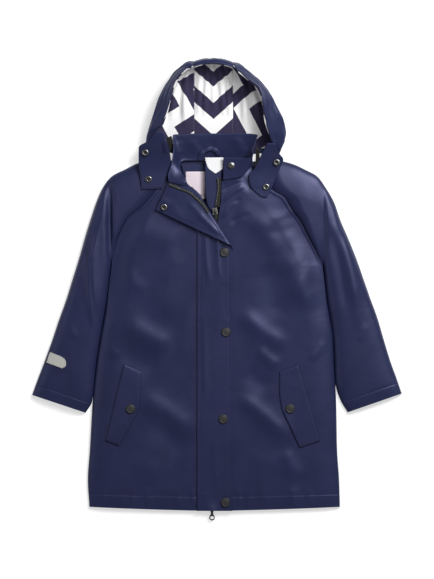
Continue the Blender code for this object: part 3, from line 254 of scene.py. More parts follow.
# Folds of each lining panel and dents of the hood's: place across it at the bottom and at the
# top, half width, height, and where along the panel they start and end. All places are shares.
LINING_FOLDS = {
    "centre": (
        (0.2, 0.38, 0.05, 6.4, 0.36, 0.8), (0.84, 0.62, 0.06, 7, 0.36, 0.84),
        (0.07, 0.16, 0.04, 5.6, 0.36, 0.95), (0.94, 0.84, 0.045, 7.6, 0.36, 0.95),
        (0.56, 0.44, 0.06, 4.6, 0.4, 1)),
    "right": (
        (0.1, 0.2, 0.04, 7.4, 0.34, 0.8), (0.4, 0.26, 0.045, 6.4, 0.36, 0.95),
        (0.56, 0.42, 0.05, 5, 0.3, 0.75)),
    "left": (
        (0.1, 0.24, 0.04, 8, 0.34, 0.85), (0.44, 0.28, 0.045, 6.8, 0.36, 1),
        (0.6, 0.46, 0.04, 5, 0.3, 0.75))}
HOOD_FOLDS = {
    "centre": (
        (0.3, 0.42, 0.07, 1.4, 0.62, 1), (0.72, 0.6, 0.06, 1.2, 0.55, 0.95)),
    "right": (
        (0.7, 0.84, 0.022, 1.4, 0.12, 0.5), (0.8, 0.72, 0.02, -1.3, 0.3, 0.72),
        (0.88, 0.8, 0.016, 1.2, 0.42, 0.8), (0.66, 0.8, 0.024, 1.4, 0.55, 0.95),
        (0.58, 0.66, 0.03, -1.2, 0.35, 0.8)),
    "left": (
        (0.74, 0.86, 0.02, 1.3, 0.15, 0.55), (0.82, 0.7, 0.022, -1.4, 0.35, 0.8),
        (0.62, 0.76, 0.024, 1.5, 0.5, 0.98), (0.9, 0.84, 0.014, 1.2, 0.5, 0.85),
        (0.56, 0.62, 0.03, -1.2, 0.2, 0.6))}
# Waves of the hood's rim: place along it, half width, reach.
RIM_WAVES = (
    (0.22, 0.04, 1.6), (0.36, 0.03, -1.8), (0.52, 0.05, 1.9), (0.66, 0.03, -1.5), (0.8, 0.04, 1.6),
    (0.9, 0.03, -1.2))
RIM_HEM = (0.93, 0.012, 0.8)  # its hem's stitched ridge: place, half width, height
# The print on each lining panel: its turn in degrees and its shift in metres.
PRINT = {"centre": (0.0, 0.046, -0.0095), "right": (86.0, 0.006, 0.033),
         "left": (-74.0, 0.03, 0.018)}

# Hood tabs that carry two snap sockets each, and the dark tape at their inner edges.
# Columns: outer_x, outer_y, inner_x, inner_y, height; the tape has a height on either side.
TAB = {
    "right": (
        (-106, 663.6, -93.5, 663, 37.2), (-116, 649.5, -87, 645, 34),
        (-137, 635.5, -82.5, 627.5, 27), (-137.2, 609, -80.5, 610.8, 21.8),
        (-134.8, 586.2, -86.3, 588.9, 19.4), (-132.1, 561.8, -96, 563.5, 19)),
    "left": (
        (99.5, 643, 88, 643.5, 36), (108.5, 626, 80, 629, 30), (116, 614.3, 72.8, 613.7, 25),
        (109.5, 598, 64.5, 598.5, 22), (102.7, 582, 55, 587, 21), (98, 570, 57, 571, 20.5),
        (92, 558, 64, 561, 20), (87, 548, 79, 549, 20))}
TAPE = {
    "right": (
        (-91, 651, 33.8, -79.5, 656, 33.8), (-90, 641, 31.2, -78.5, 645, 31.2),
        (-88, 629, 26, -79.5, 631, 26)),
    "left": (
        (73.5, 632, 27, 67.5, 636, 27), (75, 614, 23, 67.5, 615, 22.5),
        (70.5, 600, 20.2, 63.5, 602, 19.8))}
# Stand collar, from the left front edge round the back of the neck to the turned-back right end.
# Columns: seam_x, seam_y, seam_z, top_x, top_y, top_z.
COLLAR = (
    (10.5, 579, 20.5, 11, 619, 24), (31.5, 582.5, 20.5, 31.5, 618.5, 25),
    (44, 586, 20.5, 47, 617, 26.5), (53, 596, 20.5, 58, 619, 29), (59, 604.5, 18, 62, 625, 30),
    (61, 611, 13, 60, 632, 27), (57, 614.5, 8.5, 65, 643, 22), (49, 614, 6.2, 70, 658, 17),
    (22.8, 613, 5.8, 40, 661, 15), (-3.5, 613, 5.8, 0, 660.6, 14.5),
    (-29.8, 613, 5.8, -36, 660.6, 15), (-52.5, 613, 6.2, -77, 658, 17),
    (-62, 611, 8, -76.1, 636, 21), (-65, 603, 13, -77.9, 618, 25), (-61, 592, 19, -82, 601, 27.5),
    (-54.5, 580.5, 23.5, -86, 586, 28.5), (-50, 566, 27, -84, 576.5, 28.8))
COLLAR_ROWS = 150
COLLAR_LIES = 100  # first row that lies on the storm flap,
COLLAR_EASED = 86  # and the first that eases into it
# Hanging loop, along its middle.
LOOP_PATH = ((-30.5, 613.5), (-28.5, 622), (-22.5, 630), (-11, 634), (-1, 630), (3.5, 622.5))
LOOP_WIDTH = 8.0

# Zip: left and right edges of the open left half, middle line of the open right half, and the
# closed part's section (x, fall below the fronts) between its ends.
ZIP_LEFT = (
    (-3.5, 533.5, 5, 532), (-2.4, 541, 5.6, 540), (0.2, 556, 6.4, 553), (1.2, 569, 6.8, 569),
    (0.4, 583, 6.8, 583))
ZIP_RIGHT = ((-83.5, 571.5), (-66, 564.5), (-48, 557.5), (-37, 548.5), (-25, 536.5), (-15, 522.5))
ZIP_SECTION = ((-21, 2.1), (-12.9, 2.5), (-11.3, 0.7), (-6.3, 0.7), (-4.7, 2.5), (3.2, 2.1))
ZIP_LEFT_Z = 19.6
ZIP_HALF_WIDTH = 5.4
ZIP_START = 12.0
ZIP_LEANS = 440.0  # from here up it leans to the left front,
ZIP_END = 519.0
ZIP_SHIFT = 4.5  # by this much just below the top slider

# Flat pieces between two edges. Columns: one_x, one_y, other_x, other_y.
PATCH = (
    (-292, 278, -272.5, 270.5), (-293.4, 275.2, -267.4, 266.6), (-295, 271.4, -264.6, 262),
    (-296.4, 267, -264, 257), (-297.6, 263.2, -265.6, 252.6), (-299, 260, -271.5, 249.5))
POCKET = {
    "right": (
        (-162.8, 257.2, -132.5, 243.2), (-171, 224, -134.6, 213), (-178, 194, -136.8, 182),
        (-186, 158, -150, 152), (-194.8, 123, -171.5, 114.1)),
    "left": (
        (142.1, 256, 109.2, 243.1), (151.5, 223, 109, 214), (160.5, 191, 112.7, 182.2),
        (170, 156, 128, 147), (179.6, 122.5, 144.4, 110.8))}
NECK_FACING = ((-64, 606, 60, 606), (-60, 590, 45, 590), (-48, 566, 20, 566), (-36, 545, 10, 545))
LABEL = ((-55, 594.1, -8.8, 594.1), (-55, 569, -8.8, 569), (-55, 546, -8.8, 546))
GUARD = (
    (-21, 619.5, 11.5, 619.5), (-21, 595, 9, 595), (-20.5, 560, 6, 560), (-18, 540, 2, 540),
    (-8, 522, -1, 520))
CHIN_GUARD = (
    (-21, 618.5, 11, 618.5), (-19.5, 611, 11, 611), (-15.4, 600, 10.6, 600.5),
    (-9.5, 595.5, 5, 595.5), (-3.6, 591, -1.4, 591))
FACING_Z = 3.2
LABEL_Z = 4.8
GUARD_Z = 16.2
POCKET_LIFT = 0.5
POCKET_SEAM = 3.2  # from a pocket flap's outer edge to the pocket's stitching
PILLOW = (0.5, 3.0)  # how far a turned edge drops, and over what width

# Snaps: places, radii and profiles (share of the radius, height) from the top's middle down.
FLAP_CAPS = ((13.1, 452.5), (15.8, 313.2), (11, 161), (14.9, 15.1))
POCKET_CAPS = (("right", -151.2, 178.8), ("left", 127.9, 179.2))
TAB_SOCKETS = (
    ("right_upper", -125.1, 626.9), ("right_lower", -119.5, 580.5), ("left_upper", 104.3, 610.1),
    ("left_lower", 85.8, 567.2))
FLAP_SOCKET = (-92.4, 531.5)
STUD = (25.2, 604.4)
SNAP_GAP = 0.15  # under a snap
CAP_RADIUS = 8.2
SOCKET_RADIUS = 6.1
LATHE_BEVEL = 0.12
SOLID_BEVEL = 0.15  # of the sliders, bridges and pulls
CAP = ((0, 2.7), (0.3, 2.68), (0.56, 2.6), (0.62, 2.45), (0.68, 2.65), (0.8, 2.7), (0.9, 2.45),
       (0.96, 1.9), (1, 1.2), (0.98, 0.4), (0.94, 0))
SOCKET = ((0, 0.5), (0.4, 0.5), (0.44, 1.9), (0.52, 2.35), (0.66, 2.5), (0.84, 2.2), (0.95, 1.5),
          (1, 0.8), (0.97, 0))
# Painted shade: a black disc on the floor of each socket's hole.
HOLE_SHADE = ((0, 0.6), (0.38, 0.6), (0.4, 0.52))
STUD_RING = ((0, 1.9), (0.2, 2), (0.24, 3), (0.33, 3.3), (0.42, 3), (0.46, 2.4), (0.42, 1.5),
             (0.6, 1.3), (0.9, 1.2), (1, 0.6), (0.97, 0))
# Painted shade: a black disc in the middle of the stud's dished top.
DISH_SHADE = ((0, 2.1), (0.19, 2.1), (0.2, 1.95))

# Stitches: spacing, then length, width and height of one. A line of them pulls in a furrow.
STITCH_PITCH = 3.3
STITCH_SIZE = (2.5, 0.62, 0.34)
GROOVE = (0.9, 0.38)  # half width and depth
PATCH_STITCH = (2.2, (1.5, 0.4, 0.2))
TOOTH_PITCH = 2.9
TOOTH = (1.5, 3.4, 1.6)
HEM_STITCH = 23.6
CUFF_STITCH = 20.0
EDGE_STITCH = 5.2  # from a seam or an edge to its topstitching,
TAB_RIM = 3.2  # from a hood tab's edge,
POCKET_RIM = 2.6  # from a pocket flap's
PATCH_RIM = 1.6  # and from the patch's
LINE_STEP = 1.5  # spacing of the points of a line of stitches

FINE_RINGS = 81
FINE_STEP = 3.2  # spacing of the rows up the body
FRONT_COLUMNS = 72  # between the close ones beside its edges
ABOVE = 999.0  # stands for the height of a row above the underarm


# ---- curves and tables

def smooth(at, values, x):
    """Values at x of a smooth curve through the table, which never overshoots it."""
    at, values = np.asarray(at, float), np.asarray(values, float)
    x = np.clip(np.asarray(x, float), at[0], at[-1])
    step = np.diff(at)
    slope = np.diff(values) / step
    tangent = np.zeros(len(at))
    tangent[0], tangent[-1] = slope[0], slope[-1]
    one, two = slope[:-1], slope[1:]
    same = one * two > 0
    tangent[1:-1][same] = 2.0 * one[same] * two[same] / (one + two)[same]
    row = np.clip(np.searchsorted(at, x, side="right") - 1, 0, len(at) - 2)
    rise = step[row]
    t = (x - at[row]) / rise
    return ((1 + 2 * t) * (1 - t) ** 2 * values[row] + t * (1 - t) ** 2 * rise * tangent[row]
            + t * t * (3 - 2 * t) * values[row + 1] + t * t * (t - 1) * rise * tangent[row + 1])


def columns_at(at, table, spots):
    """Each column of the table as a smooth curve, read at some spots."""
    return np.stack([smooth(at, column, spots) for column in table.T], axis=-1)


def resample(table, count):
    """The table's rows, taken at evenly spaced row numbers."""
    table = np.asarray(table, float)
    return columns_at(np.arange(len(table)), table, np.linspace(0, len(table) - 1, count))


def lengths(line):
    """How far along a line each of its points lies."""
    steps = norm(np.diff(line, axis=0), axis=1)
    return np.concatenate([[0.0], np.cumsum(steps)])


def share_along(line):
    """Where each point of a line lies along it in plan, from 0 to 1."""
    reach = lengths(line[:, :2])
    return reach / reach[-1]


def along(points, where):
    """Points at fractions of the length of a smooth line through the given points."""
    points = np.asarray(points, float)
    reach = lengths(points)
    return columns_at(reach, points, np.asarray(where, float) * reach[-1])


def points_at(line, reach, spots):
    """Points of a line at distances along it; reach has those of its own points."""
    return np.stack([np.interp(spots, reach, line[:, k]) for k in range(3)], axis=-1)


def unit(vectors):
    """The vectors, each made one long."""
    return vectors / np.maximum(norm(vectors, axis=-1, keepdims=True), 1e-9)


def sideways(path, half_width):
    """For each point of a path in plan, the step to the edge of a strip along it."""
    ahead = unit(np.gradient(path, axis=0))
    return np.column_stack([-ahead[:, 1], ahead[:, 0]]) * half_width


def smooth_step(value):
    """Eases from 0 to 1 as the value does."""
    share = np.clip(value, 0, 1)
    return share * share * (3 - 2 * share)


def rounded(ratio):
    """A quarter round from 0 at the edge to 1 at the flat."""
    return np.sqrt(1 - (1 - np.clip(ratio, 0, 1)) ** 2)


def bell(offset, half_width):
    """A soft bump: 1 in its middle."""
    return np.exp(-(offset / half_width) ** 2)


def furrow(distance, share=1.0):
    """The furrow of a line of stitches at a distance from it."""
    return -share * GROOVE[1] * bell(distance, GROOVE[0])


def crease_height(creases, x, y):
    """Height that soft folds add at a place."""
    total = np.zeros_like(x)
    for x0, y0, x1, y1, width, height, *more in creases:
        bow = more[0] if more else 0.0
        right_width = more[1] if len(more) > 1 else width
        span = np.hypot(x1 - x0, y1 - y0)
        t = ((x - x0) * (x1 - x0) + (y - y0) * (y1 - y0)) / span ** 2
        off = ((x - x0) * (y1 - y0) - (y - y0) * (x1 - x0)) / span
        off = off - bow * 4 * np.clip(t, 0, 1) * (1 - np.clip(t, 0, 1))
        taper = np.clip(np.minimum(t, 1 - t) * CREASE_TAPER, 0, 1)
        profile = bell(off, np.where(off < 0, right_width, width))
        total += height * profile * taper * taper * (3 - 2 * taper)
    return total


def creased(creases, grid):
    """Height that soft folds add to each point of a grid."""
    return crease_height(creases, grid[:, :, 0], grid[:, :, 1])


def puckers():
    """Creases for the hem's puckers, each a little different from the next."""
    count, spacing, first = HEM_PUCKERS
    rows = []
    for k in range(count):
        x = first + spacing * k + 5.0 * math.sin(2.1 * k)
        rows.append((x, 44.0, x + 4.0 * math.sin(3.7 * k), 4.0, 4.4 + 1.4 * math.sin(1.3 * k),
                     0.55 + 0.35 * math.sin(5.1 * k), 1.0))
    return tuple(rows)


def thinned(spots, least):
    """The spots in order, without those that lie closer than this behind another."""
    spots = np.array(sorted(spots))
    return spots[np.concatenate([[True], np.diff(spots) > least])]


def finer(start, end, step, lines):
    """Positions from start to end, close together at the ends and beside each stitch line."""
    spots = list(np.linspace(start, end, max(2, int(round((end - start) / step)) + 1)))
    for edge, sign in ((start, 1), (end, -1)):
        spots += [edge + sign * offset for offset in (0.35, 0.9, 1.8)]
    for line in lines:
        spots = [spot for spot in spots if abs(spot - line) > 1.6]
        spots += [line + offset for offset in (-1.7, -1.0, -0.5, 0.0, 0.5, 1.0, 1.7)]
    return thinned(spots, 0.25)


def between(table, rows, columns, z=0.0):
    """A grid between two edges. The table has x, y, z of each, or x, y of each and one height for
    both, which may be z instead."""
    table = resample(table, rows)
    if table.shape[1] < 6:
        height = table[:, 4:] if table.shape[1] > 4 else np.full((rows, 1), z)
        table = np.hstack([table[:, 0:2], height, table[:, 2:4], height])
    share = np.linspace(0, 1, columns)[None, :, None]
    return table[:, None, :3] * (1 - share) + table[:, None, 3:] * share


def placed(points):
    """Table millimetres to metres about the origin."""
    return (np.asarray(points, float) - MIDDLE) * MM


# ---- materials

def settle(node, **values):
    """Sets sockets of a node, with underscores for their names' spaces, or else its properties."""
    for key, value in values.items():
        socket = key.replace("_", " ")
        if socket in node.inputs:
            node.inputs[socket].default_value = value
        else:
            setattr(node, key, value)
    return node


def add_node(tree, kind, **values):
    return settle(tree.nodes.new("ShaderNode" + kind), **values)


def noise(tree, scale, detail=3.0):
    """Noise over the object's own metres."""
    made = add_node(tree, "TexNoise", Scale=scale, Detail=detail, Roughness=0.55)
    tree.links.new(add_node(tree, "TexCoord").outputs["Object"], made.inputs["Vector"])
    return made.outputs["Fac"]


def ramp(tree, source, low, high):
    """The middle range of the source, spread between two colours or values."""
    made = add_node(tree, "ValToRGB")
    for number, position, value in ((0, 0.3, low), (1, 0.7, high)):
        element = made.color_ramp.elements[number]
        element.position = position
        element.color = (*(value if isinstance(value, tuple) else (value,) * 3), 1.0)
    tree.links.new(source, made.inputs["Fac"])
    return made.outputs["Color"]


def look(name, colour, rough, metallic=0.0, vary=0.15, grain=(), specular=0.5, sheen=0.0,
         tint=(1.0, 1.0, 1.0)):
    """A finish with uneven colour and gloss. Each row of its grain has a scale and a detail, and
    the strength of its bumps and their depth in metres."""
    made = bpy.data.materials.new("look_" + name)
    made.use_nodes = True
    tree = made.node_tree
    shader = settle(tree.nodes["Principled BSDF"], Metallic=metallic, Specular_IOR_Level=specular,
                    Specular_Tint=(*tint, 1.0), Sheen_Weight=sheen)
    dark = tuple(c * (1 - vary) for c in colour)
    light = tuple(min(1.0, c * (1 + vary)) for c in colour)
    tree.links.new(ramp(tree, noise(tree, 18.0), dark, light), shader.inputs["Base Color"])
    gloss = ramp(tree, noise(tree, 30.0, 4.0), rough * 0.9, rough * 1.1)
    tree.links.new(gloss, shader.inputs["Roughness"])
    last = None
    for scale, detail, strength, depth in grain:
        bump = add_node(tree, "Bump", Strength=strength, Distance=depth)
        tree.links.new(noise(tree, scale, detail), bump.inputs["Height"])
        if last:
            tree.links.new(last, bump.inputs["Normal"])
        last = bump.outputs["Normal"]
    if last:
        tree.links.new(last, shader.inputs["Normal"])
    return made


CHEVRON_ACROSS = 0.080  # metres from one point of the zigzag to the next
CHEVRON_ALONG = 0.0575  # metres from one stripe to the next of its colour
CHEVRON_SLOPE = 0.62  # rise over half a zigzag, in stripes
CHEVRON_EDGE = (0.244, 0.258)  # where a stripe's edge lies, in stripes
CHEVRON_NAVY = (0.035, 0.028, 0.07)


def print_chevrons(finish):
    """Gives a cotton finish its print: even zigzag stripes in two colours, with a fine weave."""
    tree = finish.node_tree

    def maths(operation, *values):
        made = add_node(tree, "Math", operation=operation)
        for socket, value in zip(made.inputs, values):
            if isinstance(value, float):
                socket.default_value = value
            else:
                tree.links.new(value, socket)
        return made.outputs[0]

    def from_middle(value):
        return maths("ABSOLUTE", maths("SUBTRACT", maths("FRACT", value), 0.5))

    parts = add_node(tree, "SeparateXYZ")
    tree.links.new(add_node(tree, "UVMap").outputs["UV"], parts.inputs["Vector"])
    zigzag = from_middle(maths("DIVIDE", parts.outputs["X"], CHEVRON_ACROSS))
    rise = maths("MULTIPLY", zigzag, 2 * CHEVRON_SLOPE)
    up = maths("DIVIDE", parts.outputs["Y"], CHEVRON_ALONG)
    edge = add_node(tree, "MapRange", interpolation_type="SMOOTHSTEP", From_Min=CHEVRON_EDGE[0],
                    From_Max=CHEVRON_EDGE[1])
    tree.links.new(from_middle(maths("ADD", up, rise)), edge.inputs["Value"])
    weave = noise(tree, 900.0, 2.0)
    white = ramp(tree, weave, (0.88, 0.88, 0.89), (0.97, 0.97, 0.97))
    navy = ramp(tree, weave, *(tuple(c * k for c in CHEVRON_NAVY) for k in (0.8, 1.25)))
    mix = add_node(tree, "Mix", data_type="RGBA")
    for source, socket in ((edge.outputs["Result"], "Factor"), (white, "A"), (navy, "B")):
        tree.links.new(source, mix.inputs[socket])
    shader = tree.nodes["Principled BSDF"]
    tree.links.new(mix.outputs["Result"], shader.inputs["Base Color"])


METAL_GRAIN = ((900.0, 3.0, 0.05, 0.0001),)
FINISHES = {
    "coated_navy": dict(colour=(0.0155, 0.020, 0.062), rough=0.4, vary=0.1, tint=(0.62, 0.64, 1.0),
                        grain=((70.0, 4.0, 0.12, 0.002), (1400.0, 3.0, 0.14, 0.0002))),
    "thread": dict(colour=(0.016, 0.018, 0.05), rough=0.6, grain=((3000.0, 2.0, 0.3, 0.0001),)),
    "printed_lining": dict(colour=CHEVRON_NAVY, rough=0.85, vary=0.1, specular=0.2, sheen=0.1,
                           grain=((2600.0, 2.0, 0.25, 0.0002),)),
    "white_lining": dict(colour=(0.87, 0.87, 0.88), rough=0.8, vary=0.04, specular=0.2, sheen=0.1,
                         grain=((1800.0, 2.0, 0.2, 0.0002),)),
    "gunmetal": dict(colour=(0.03, 0.03, 0.032), rough=0.42, metallic=0.25, vary=0.2,
                     grain=METAL_GRAIN),
    "nickel": dict(colour=(0.22, 0.22, 0.22), rough=0.3, metallic=1.0, grain=METAL_GRAIN),
    # Black of the zip's and the hood's tapes; also the black discs of painted shade in the snaps'
    # holes and the stud's dish.
    "zip_black": dict(colour=(0.011, 0.011, 0.01), rough=0.6, vary=0.2, specular=0.3,
                      grain=((1600.0, 2.0, 0.3, 0.0002),)),
    "patch_thread": dict(colour=(0.16, 0.16, 0.2), rough=0.6),
    "slider": dict(colour=(0.36, 0.36, 0.35), rough=0.3, metallic=1.0, vary=0.2,
                   grain=METAL_GRAIN),
    "teeth": dict(colour=(0.3, 0.3, 0.28), rough=0.3, metallic=0.4, vary=0.2,
                  grain=((1200.0, 2.0, 0.05, 0.0001),)),
    "label_cloth": dict(colour=(0.83, 0.72, 0.79), rough=0.55, vary=0.05, specular=0.3,
                        grain=((2200.0, 2.0, 0.25, 0.0001),)),
    "reflective_grey": dict(colour=(0.5, 0.5, 0.48), rough=0.38, vary=0.06, specular=0.6,
                            grain=((2600.0, 2.0, 0.12, 0.0001),)),
}
LOOKS = {name: look(name, **values) for name, values in FINISHES.items()}
print_chevrons(LOOKS["printed_lining"])


# ---- meshes

PIECES = dict(frame["nodes"])  # by the CAD's names; cloth() puts its sheets in their places
GRIDS = {}  # the sheets' outer faces


def add_object(name, data):
    made = bpy.data.objects.new(name, data)
    bpy.context.scene.collection.objects.link(made)
    return made


def add_mesh(name, points, faces, finish, uv=None):
    """A smooth-shaded mesh from points in table millimetres, riding on the coat."""
    mesh = bpy.data.meshes.new(name)
    mesh.from_pydata([tuple(p) for p in placed(points)], [], faces)
    mesh.shade_smooth()
    if uv is not None:
        corners = np.zeros(len(mesh.loops), int)
        mesh.loops.foreach_get("vertex_index", corners)
        mesh.uv_layers.new(name="UVMap").data.foreach_set("uv", uv[corners].ravel())
    made = add_object(name, mesh)
    mesh.materials.append(LOOKS[finish])
    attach(made, "coat")
    return made


def cloth(node, grid, thickness=CLOTH, finish=CLOTH_LOOK, kind="cloth", closed=False,
          inner_side=BELOW, first_up=False, uv=None):
    """A sheet of cloth in a node's place, from its outer face, with its wall on the inner side.
    The faces of a closed one look out, and first_up says that the first face of a folded one
    looks up."""
    grid = np.asarray(grid)
    rows, columns = grid.shape[:2]
    quads = []
    for start in range(0, (rows - 1) * columns, columns):
        for c in range(columns if closed else columns - 1):
            a, b = start + c, start + (c + 1) % columns
            quads.append((a, b, b + columns, a + columns))
    made = add_mesh("%s_%s" % (node, kind), grid.reshape(-1, 3), quads, finish, uv)
    faces = made.data.polygons
    if closed:
        inside_out = max(faces, key=lambda face: face.center.z).normal.z < 0
    elif first_up:
        inside_out = faces[0].normal.z < 0
    else:
        inner = Vector(placed(inner_side))
        inside_out = sum(f.normal.dot(f.center - inner) * f.area for f in faces) < 0
    if inside_out:
        made.data.flip_normals()
    wall = made.modifiers.new("wall", "SOLIDIFY")
    wall.thickness = thickness * MM
    wall.offset = -1.0
    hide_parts(node)
    declare(grid, closed)
    PIECES[node], GRIDS[node] = made, grid


def declare(grid, closed):
    """Works out the sheet's width and length along the cloth, then leaves them unused."""
    ring = np.concatenate([grid, grid[:, :1]], axis=1) if closed else grid
    width = norm(np.diff(ring, axis=1), axis=2).sum(axis=1).max() * MM
    length = norm(np.diff(grid, axis=0), axis=2).sum(axis=0).max() * MM


def tree_of(*names):
    """A search tree over the finished surfaces of some pieces."""
    view = bpy.context.evaluated_depsgraph_get()
    verts = []
    faces = []
    for name in names:
        shown = PIECES[name].evaluated_get(view)
        mesh = shown.to_mesh()
        start = len(verts)
        verts += [v.co.copy() for v in mesh.vertices]
        faces += [[start + i for i in polygon.vertices] for polygon in mesh.polygons]
        shown.to_mesh_clear()
    return BVHTree.FromPolygons(verts, faces)


def top_of(tree, x, y, reach=0.0):
    """Height of the surface under a place, the highest within a short reach."""
    best = 0.0
    spots = [(x, y)]
    if reach > 0:
        turns = [eighth * math.pi / 4 for eighth in range(8)]
        spots += [(x + reach * math.cos(a), y + reach * math.sin(a)) for a in turns]
    for spot in spots:
        hit = tree.ray_cast(Vector(placed((*spot, 500.0))), Vector((0, 0, -1)))[0]
        if hit is not None:
            best = max(best, hit.z / MM)
    return best


def eased(grid, passes):
    """The grid with its heights evened out."""
    z = grid[:, :, 2].copy()
    for _ in range(passes):
        padded = np.pad(z, 1, mode="edge")
        z = (padded[:-2, 1:-1] + padded[2:, 1:-1] + padded[1:-1, :-2] + padded[1:-1, 2:]
             + 2 * padded[1:-1, 1:-1]) / 6
    grid[:, :, 2] = z
    return grid


def laid(grid, under, thickness=CLOTH, reach=REACH, passes=0):
    """The grid raised where needed, so that the wall under it stays clear of what it lies on."""
    tree = tree_of(*under)
    out = grid.copy()
    for spot in out.reshape(-1, 3):
        spot[2] = max(spot[2], top_of(tree, spot[0], spot[1], reach) + GAP + thickness)
    return eased(out, passes)


def pillow(grid):
    """The grid's rim lowered a little, as a sewn and turned edge is."""
    depth, reach = PILLOW
    rows, columns = grid.shape[:2]
    across = np.minimum(np.arange(columns), np.arange(columns)[::-1])[None, :]
    up = np.minimum(np.arange(rows), np.arange(rows)[::-1])[:, None]
    step_across = norm(grid[:, -1] - grid[:, 0], axis=1)[:, None] / (columns - 1)
    step_up = norm(grid[-1] - grid[0], axis=1)[None, :] / (rows - 1)
    distance = np.minimum(across * step_across, up * step_up)
    grid[:, :, 2] -= depth * (1 - rounded(distance / reach))
    return grid


def bevel(item, width):
    """Breaks an object's sharp edges."""
    edge = item.modifiers.new("edge", "BEVEL")
    edge.width = width * MM
    edge.segments = 2
    edge.limit_method = "ANGLE"


def lathe(name, profile, radius, at, finish, node=None, sides=40):
    """A turned piece, from a profile that runs from the top's middle down the outside."""
    points = [(0.0, 0.0, profile[0][1])]
    for share, height in profile[1:]:
        points += [(share * radius * math.cos(a), share * radius * math.sin(a), height)
                   for a in np.linspace(0, 2 * math.pi, sides, endpoint=False)]
    faces = [(0, 1 + k, 1 + (k + 1) % sides) for k in range(sides)]
    last = 1 + (len(profile) - 2) * sides
    for base in range(1, last, sides):
        for k in range(sides):
            a, b = base + k, base + (k + 1) % sides
            faces.append((a, a + sides, b + sides, b))
    faces.append(tuple(range(last + sides - 1, last - 1, -1)))
    made = add_mesh(name, np.array(points) + np.array(at), faces, finish)
    bevel(made, LATHE_BEVEL)
    if node:
        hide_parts(node)


DASH = np.array([(-0.5, 0, -0.1), (-0.36, -0.42, 0), (-0.36, 0, 0.75), (-0.36, 0.42, 0),
                 (0, -0.5, 0), (0, 0, 1), (0, 0.5, 0), (0.36, -0.42, 0), (0.36, 0, 0.75),
                 (0.36, 0.42, 0), (0.5, 0, -0.1)])
DASH_FACES = ((0, 1, 2), (0, 2, 3), (1, 4, 5, 2), (2, 5, 6, 3), (4, 7, 8, 5), (5, 8, 9, 6),
              (7, 10, 8), (8, 10, 9), (0, 3, 1), (1, 3, 6, 4), (4, 6, 9, 7), (7, 9, 10))


def dashes(name, lines, finish="thread", pitch=STITCH_PITCH, size=STITCH_SIZE):
    """Stitches or teeth along lines that lie on the cloth, one small raised piece after another."""
    points = []
    faces = []
    shape = DASH * np.array(size)
    for line in lines:
        line = np.asarray(line, float)
        reach = lengths(line)
        count = max(1, int(reach[-1] / pitch))
        spots = (np.arange(count) + 0.5) * reach[-1] / count
        middle, before, after = (points_at(line, reach, spots + step) for step in (0.0, -0.8, 0.8))
        ahead = unit(after - before)
        side = unit(np.cross((0.0, 0.0, 1.0), ahead))
        for spot, a, b, c in zip(middle, ahead, side, np.cross(ahead, side)):
            start = len(points)
            points += list(spot + shape[:, :1] * a + shape[:, 1:2] * b + shape[:, 2:3] * c)
            faces += [tuple(start + i for i in face) for face in DASH_FACES]
    add_mesh(name, points, faces, finish)


def inset(grid, side, distance, trim=None, lift=0.0):
    """The line on a grid that runs at a distance inside one of its edges."""
    turned = {"left": grid, "right": grid[:, ::-1], "bottom": grid.transpose(1, 0, 2),
              "top": grid[::-1].transpose(1, 0, 2)}[side]
    line = np.array([points_at(row, lengths(row), distance) for row in turned])
    reach = lengths(line)
    start, end = trim or (distance, distance)
    count = max(3, int((reach[-1] - start - end) / LINE_STEP))
    return points_at(line, reach, np.linspace(start, reach[-1] - end, count)) + (0.0, 0.0, lift)


def rim_of(grid, distance, sides=("left", "right", "top", "bottom")):
    """Lines inside some of a grid's edges."""
    return [inset(grid, side, distance) for side in sides]


def on_top(tree, plan):
    """A line over the cloth, from points in plan, at the cloth's height."""
    plan = np.asarray(plan, float)
    line = along(plan, np.linspace(0, 1, max(3, int(lengths(plan)[-1] / LINE_STEP))))
    return np.array([(x, y, top_of(tree, x, y)) for x, y in line])


# ---- body and sleeves

RING = 0.5 - 0.5 * np.cos(np.linspace(0, np.pi, FINE_RINGS))  # shares across a sleeve's ring


def sleeve(side):
    """A sleeve, with rings from the cuff to the raglan seam that run over the top and back
    along the ground."""
    table = np.asarray(SLEEVE[side], float)
    last = len(table) - 1
    seam = along(RAGLAN[side], RING)
    bow = seam - (seam[0] + (seam[-1] - seam[0]) * RING[:, None])
    cuff = CUFF_STITCH / norm(table[1][:2] - table[0][:2])
    rows = np.linspace(0.0, last, last * 8 + 1)
    near = cuff + np.array(CUFF_ROWS)
    rows = rows[np.abs(rows - cuff) > CUFF_CLEAR]
    rows = thinned([*rows, *near, *CUFF_EDGE_ROWS], 0.008)
    upper = []
    for k, row in zip(rows, columns_at(np.arange(last + 1), table, rows)):
        turn = max(0.0, (k - RAGLAN_BOW_FROM) / (last - RAGLAN_BOW_FROM)) ** RAGLAN_BOW_POWER
        plan = row[:2] + (row[2:4] - row[:2]) * RING[:, None] + bow * turn
        if k >= last:
            plan = seam
        z = RING_EDGE + (row[4] - RING_EDGE) * np.sqrt(1 - np.abs(2 * RING - 1) ** RING_POWER)
        upper.append(np.column_stack([plan, z + furrow((k - cuff) * CUFF_STITCH / cuff)]))
    upper = np.array(upper)
    upper[:, :, 2] += creased(CREASES, upper) * np.sin(np.pi * RING) ** 0.5
    upper[:, :, 2] = np.maximum(upper[:, :, 2], SLEEVE_LOW)
    lower = upper[:, -2:0:-1] * (1.0, 1.0, 0.0)
    cloth("sleeve_" + side, np.concatenate([upper, lower], axis=1), closed=True)


def seam_of(side):
    """The sleeve's side of the raglan seam, from the underarm to the neck."""
    return GRIDS["sleeve_" + side][-1, 1:FINE_RINGS - 1][::-1]


def crown(y):
    """Height of the fronts' outer face, away from their edges."""
    return smooth(CROWN_Y, CROWN_Z, y)


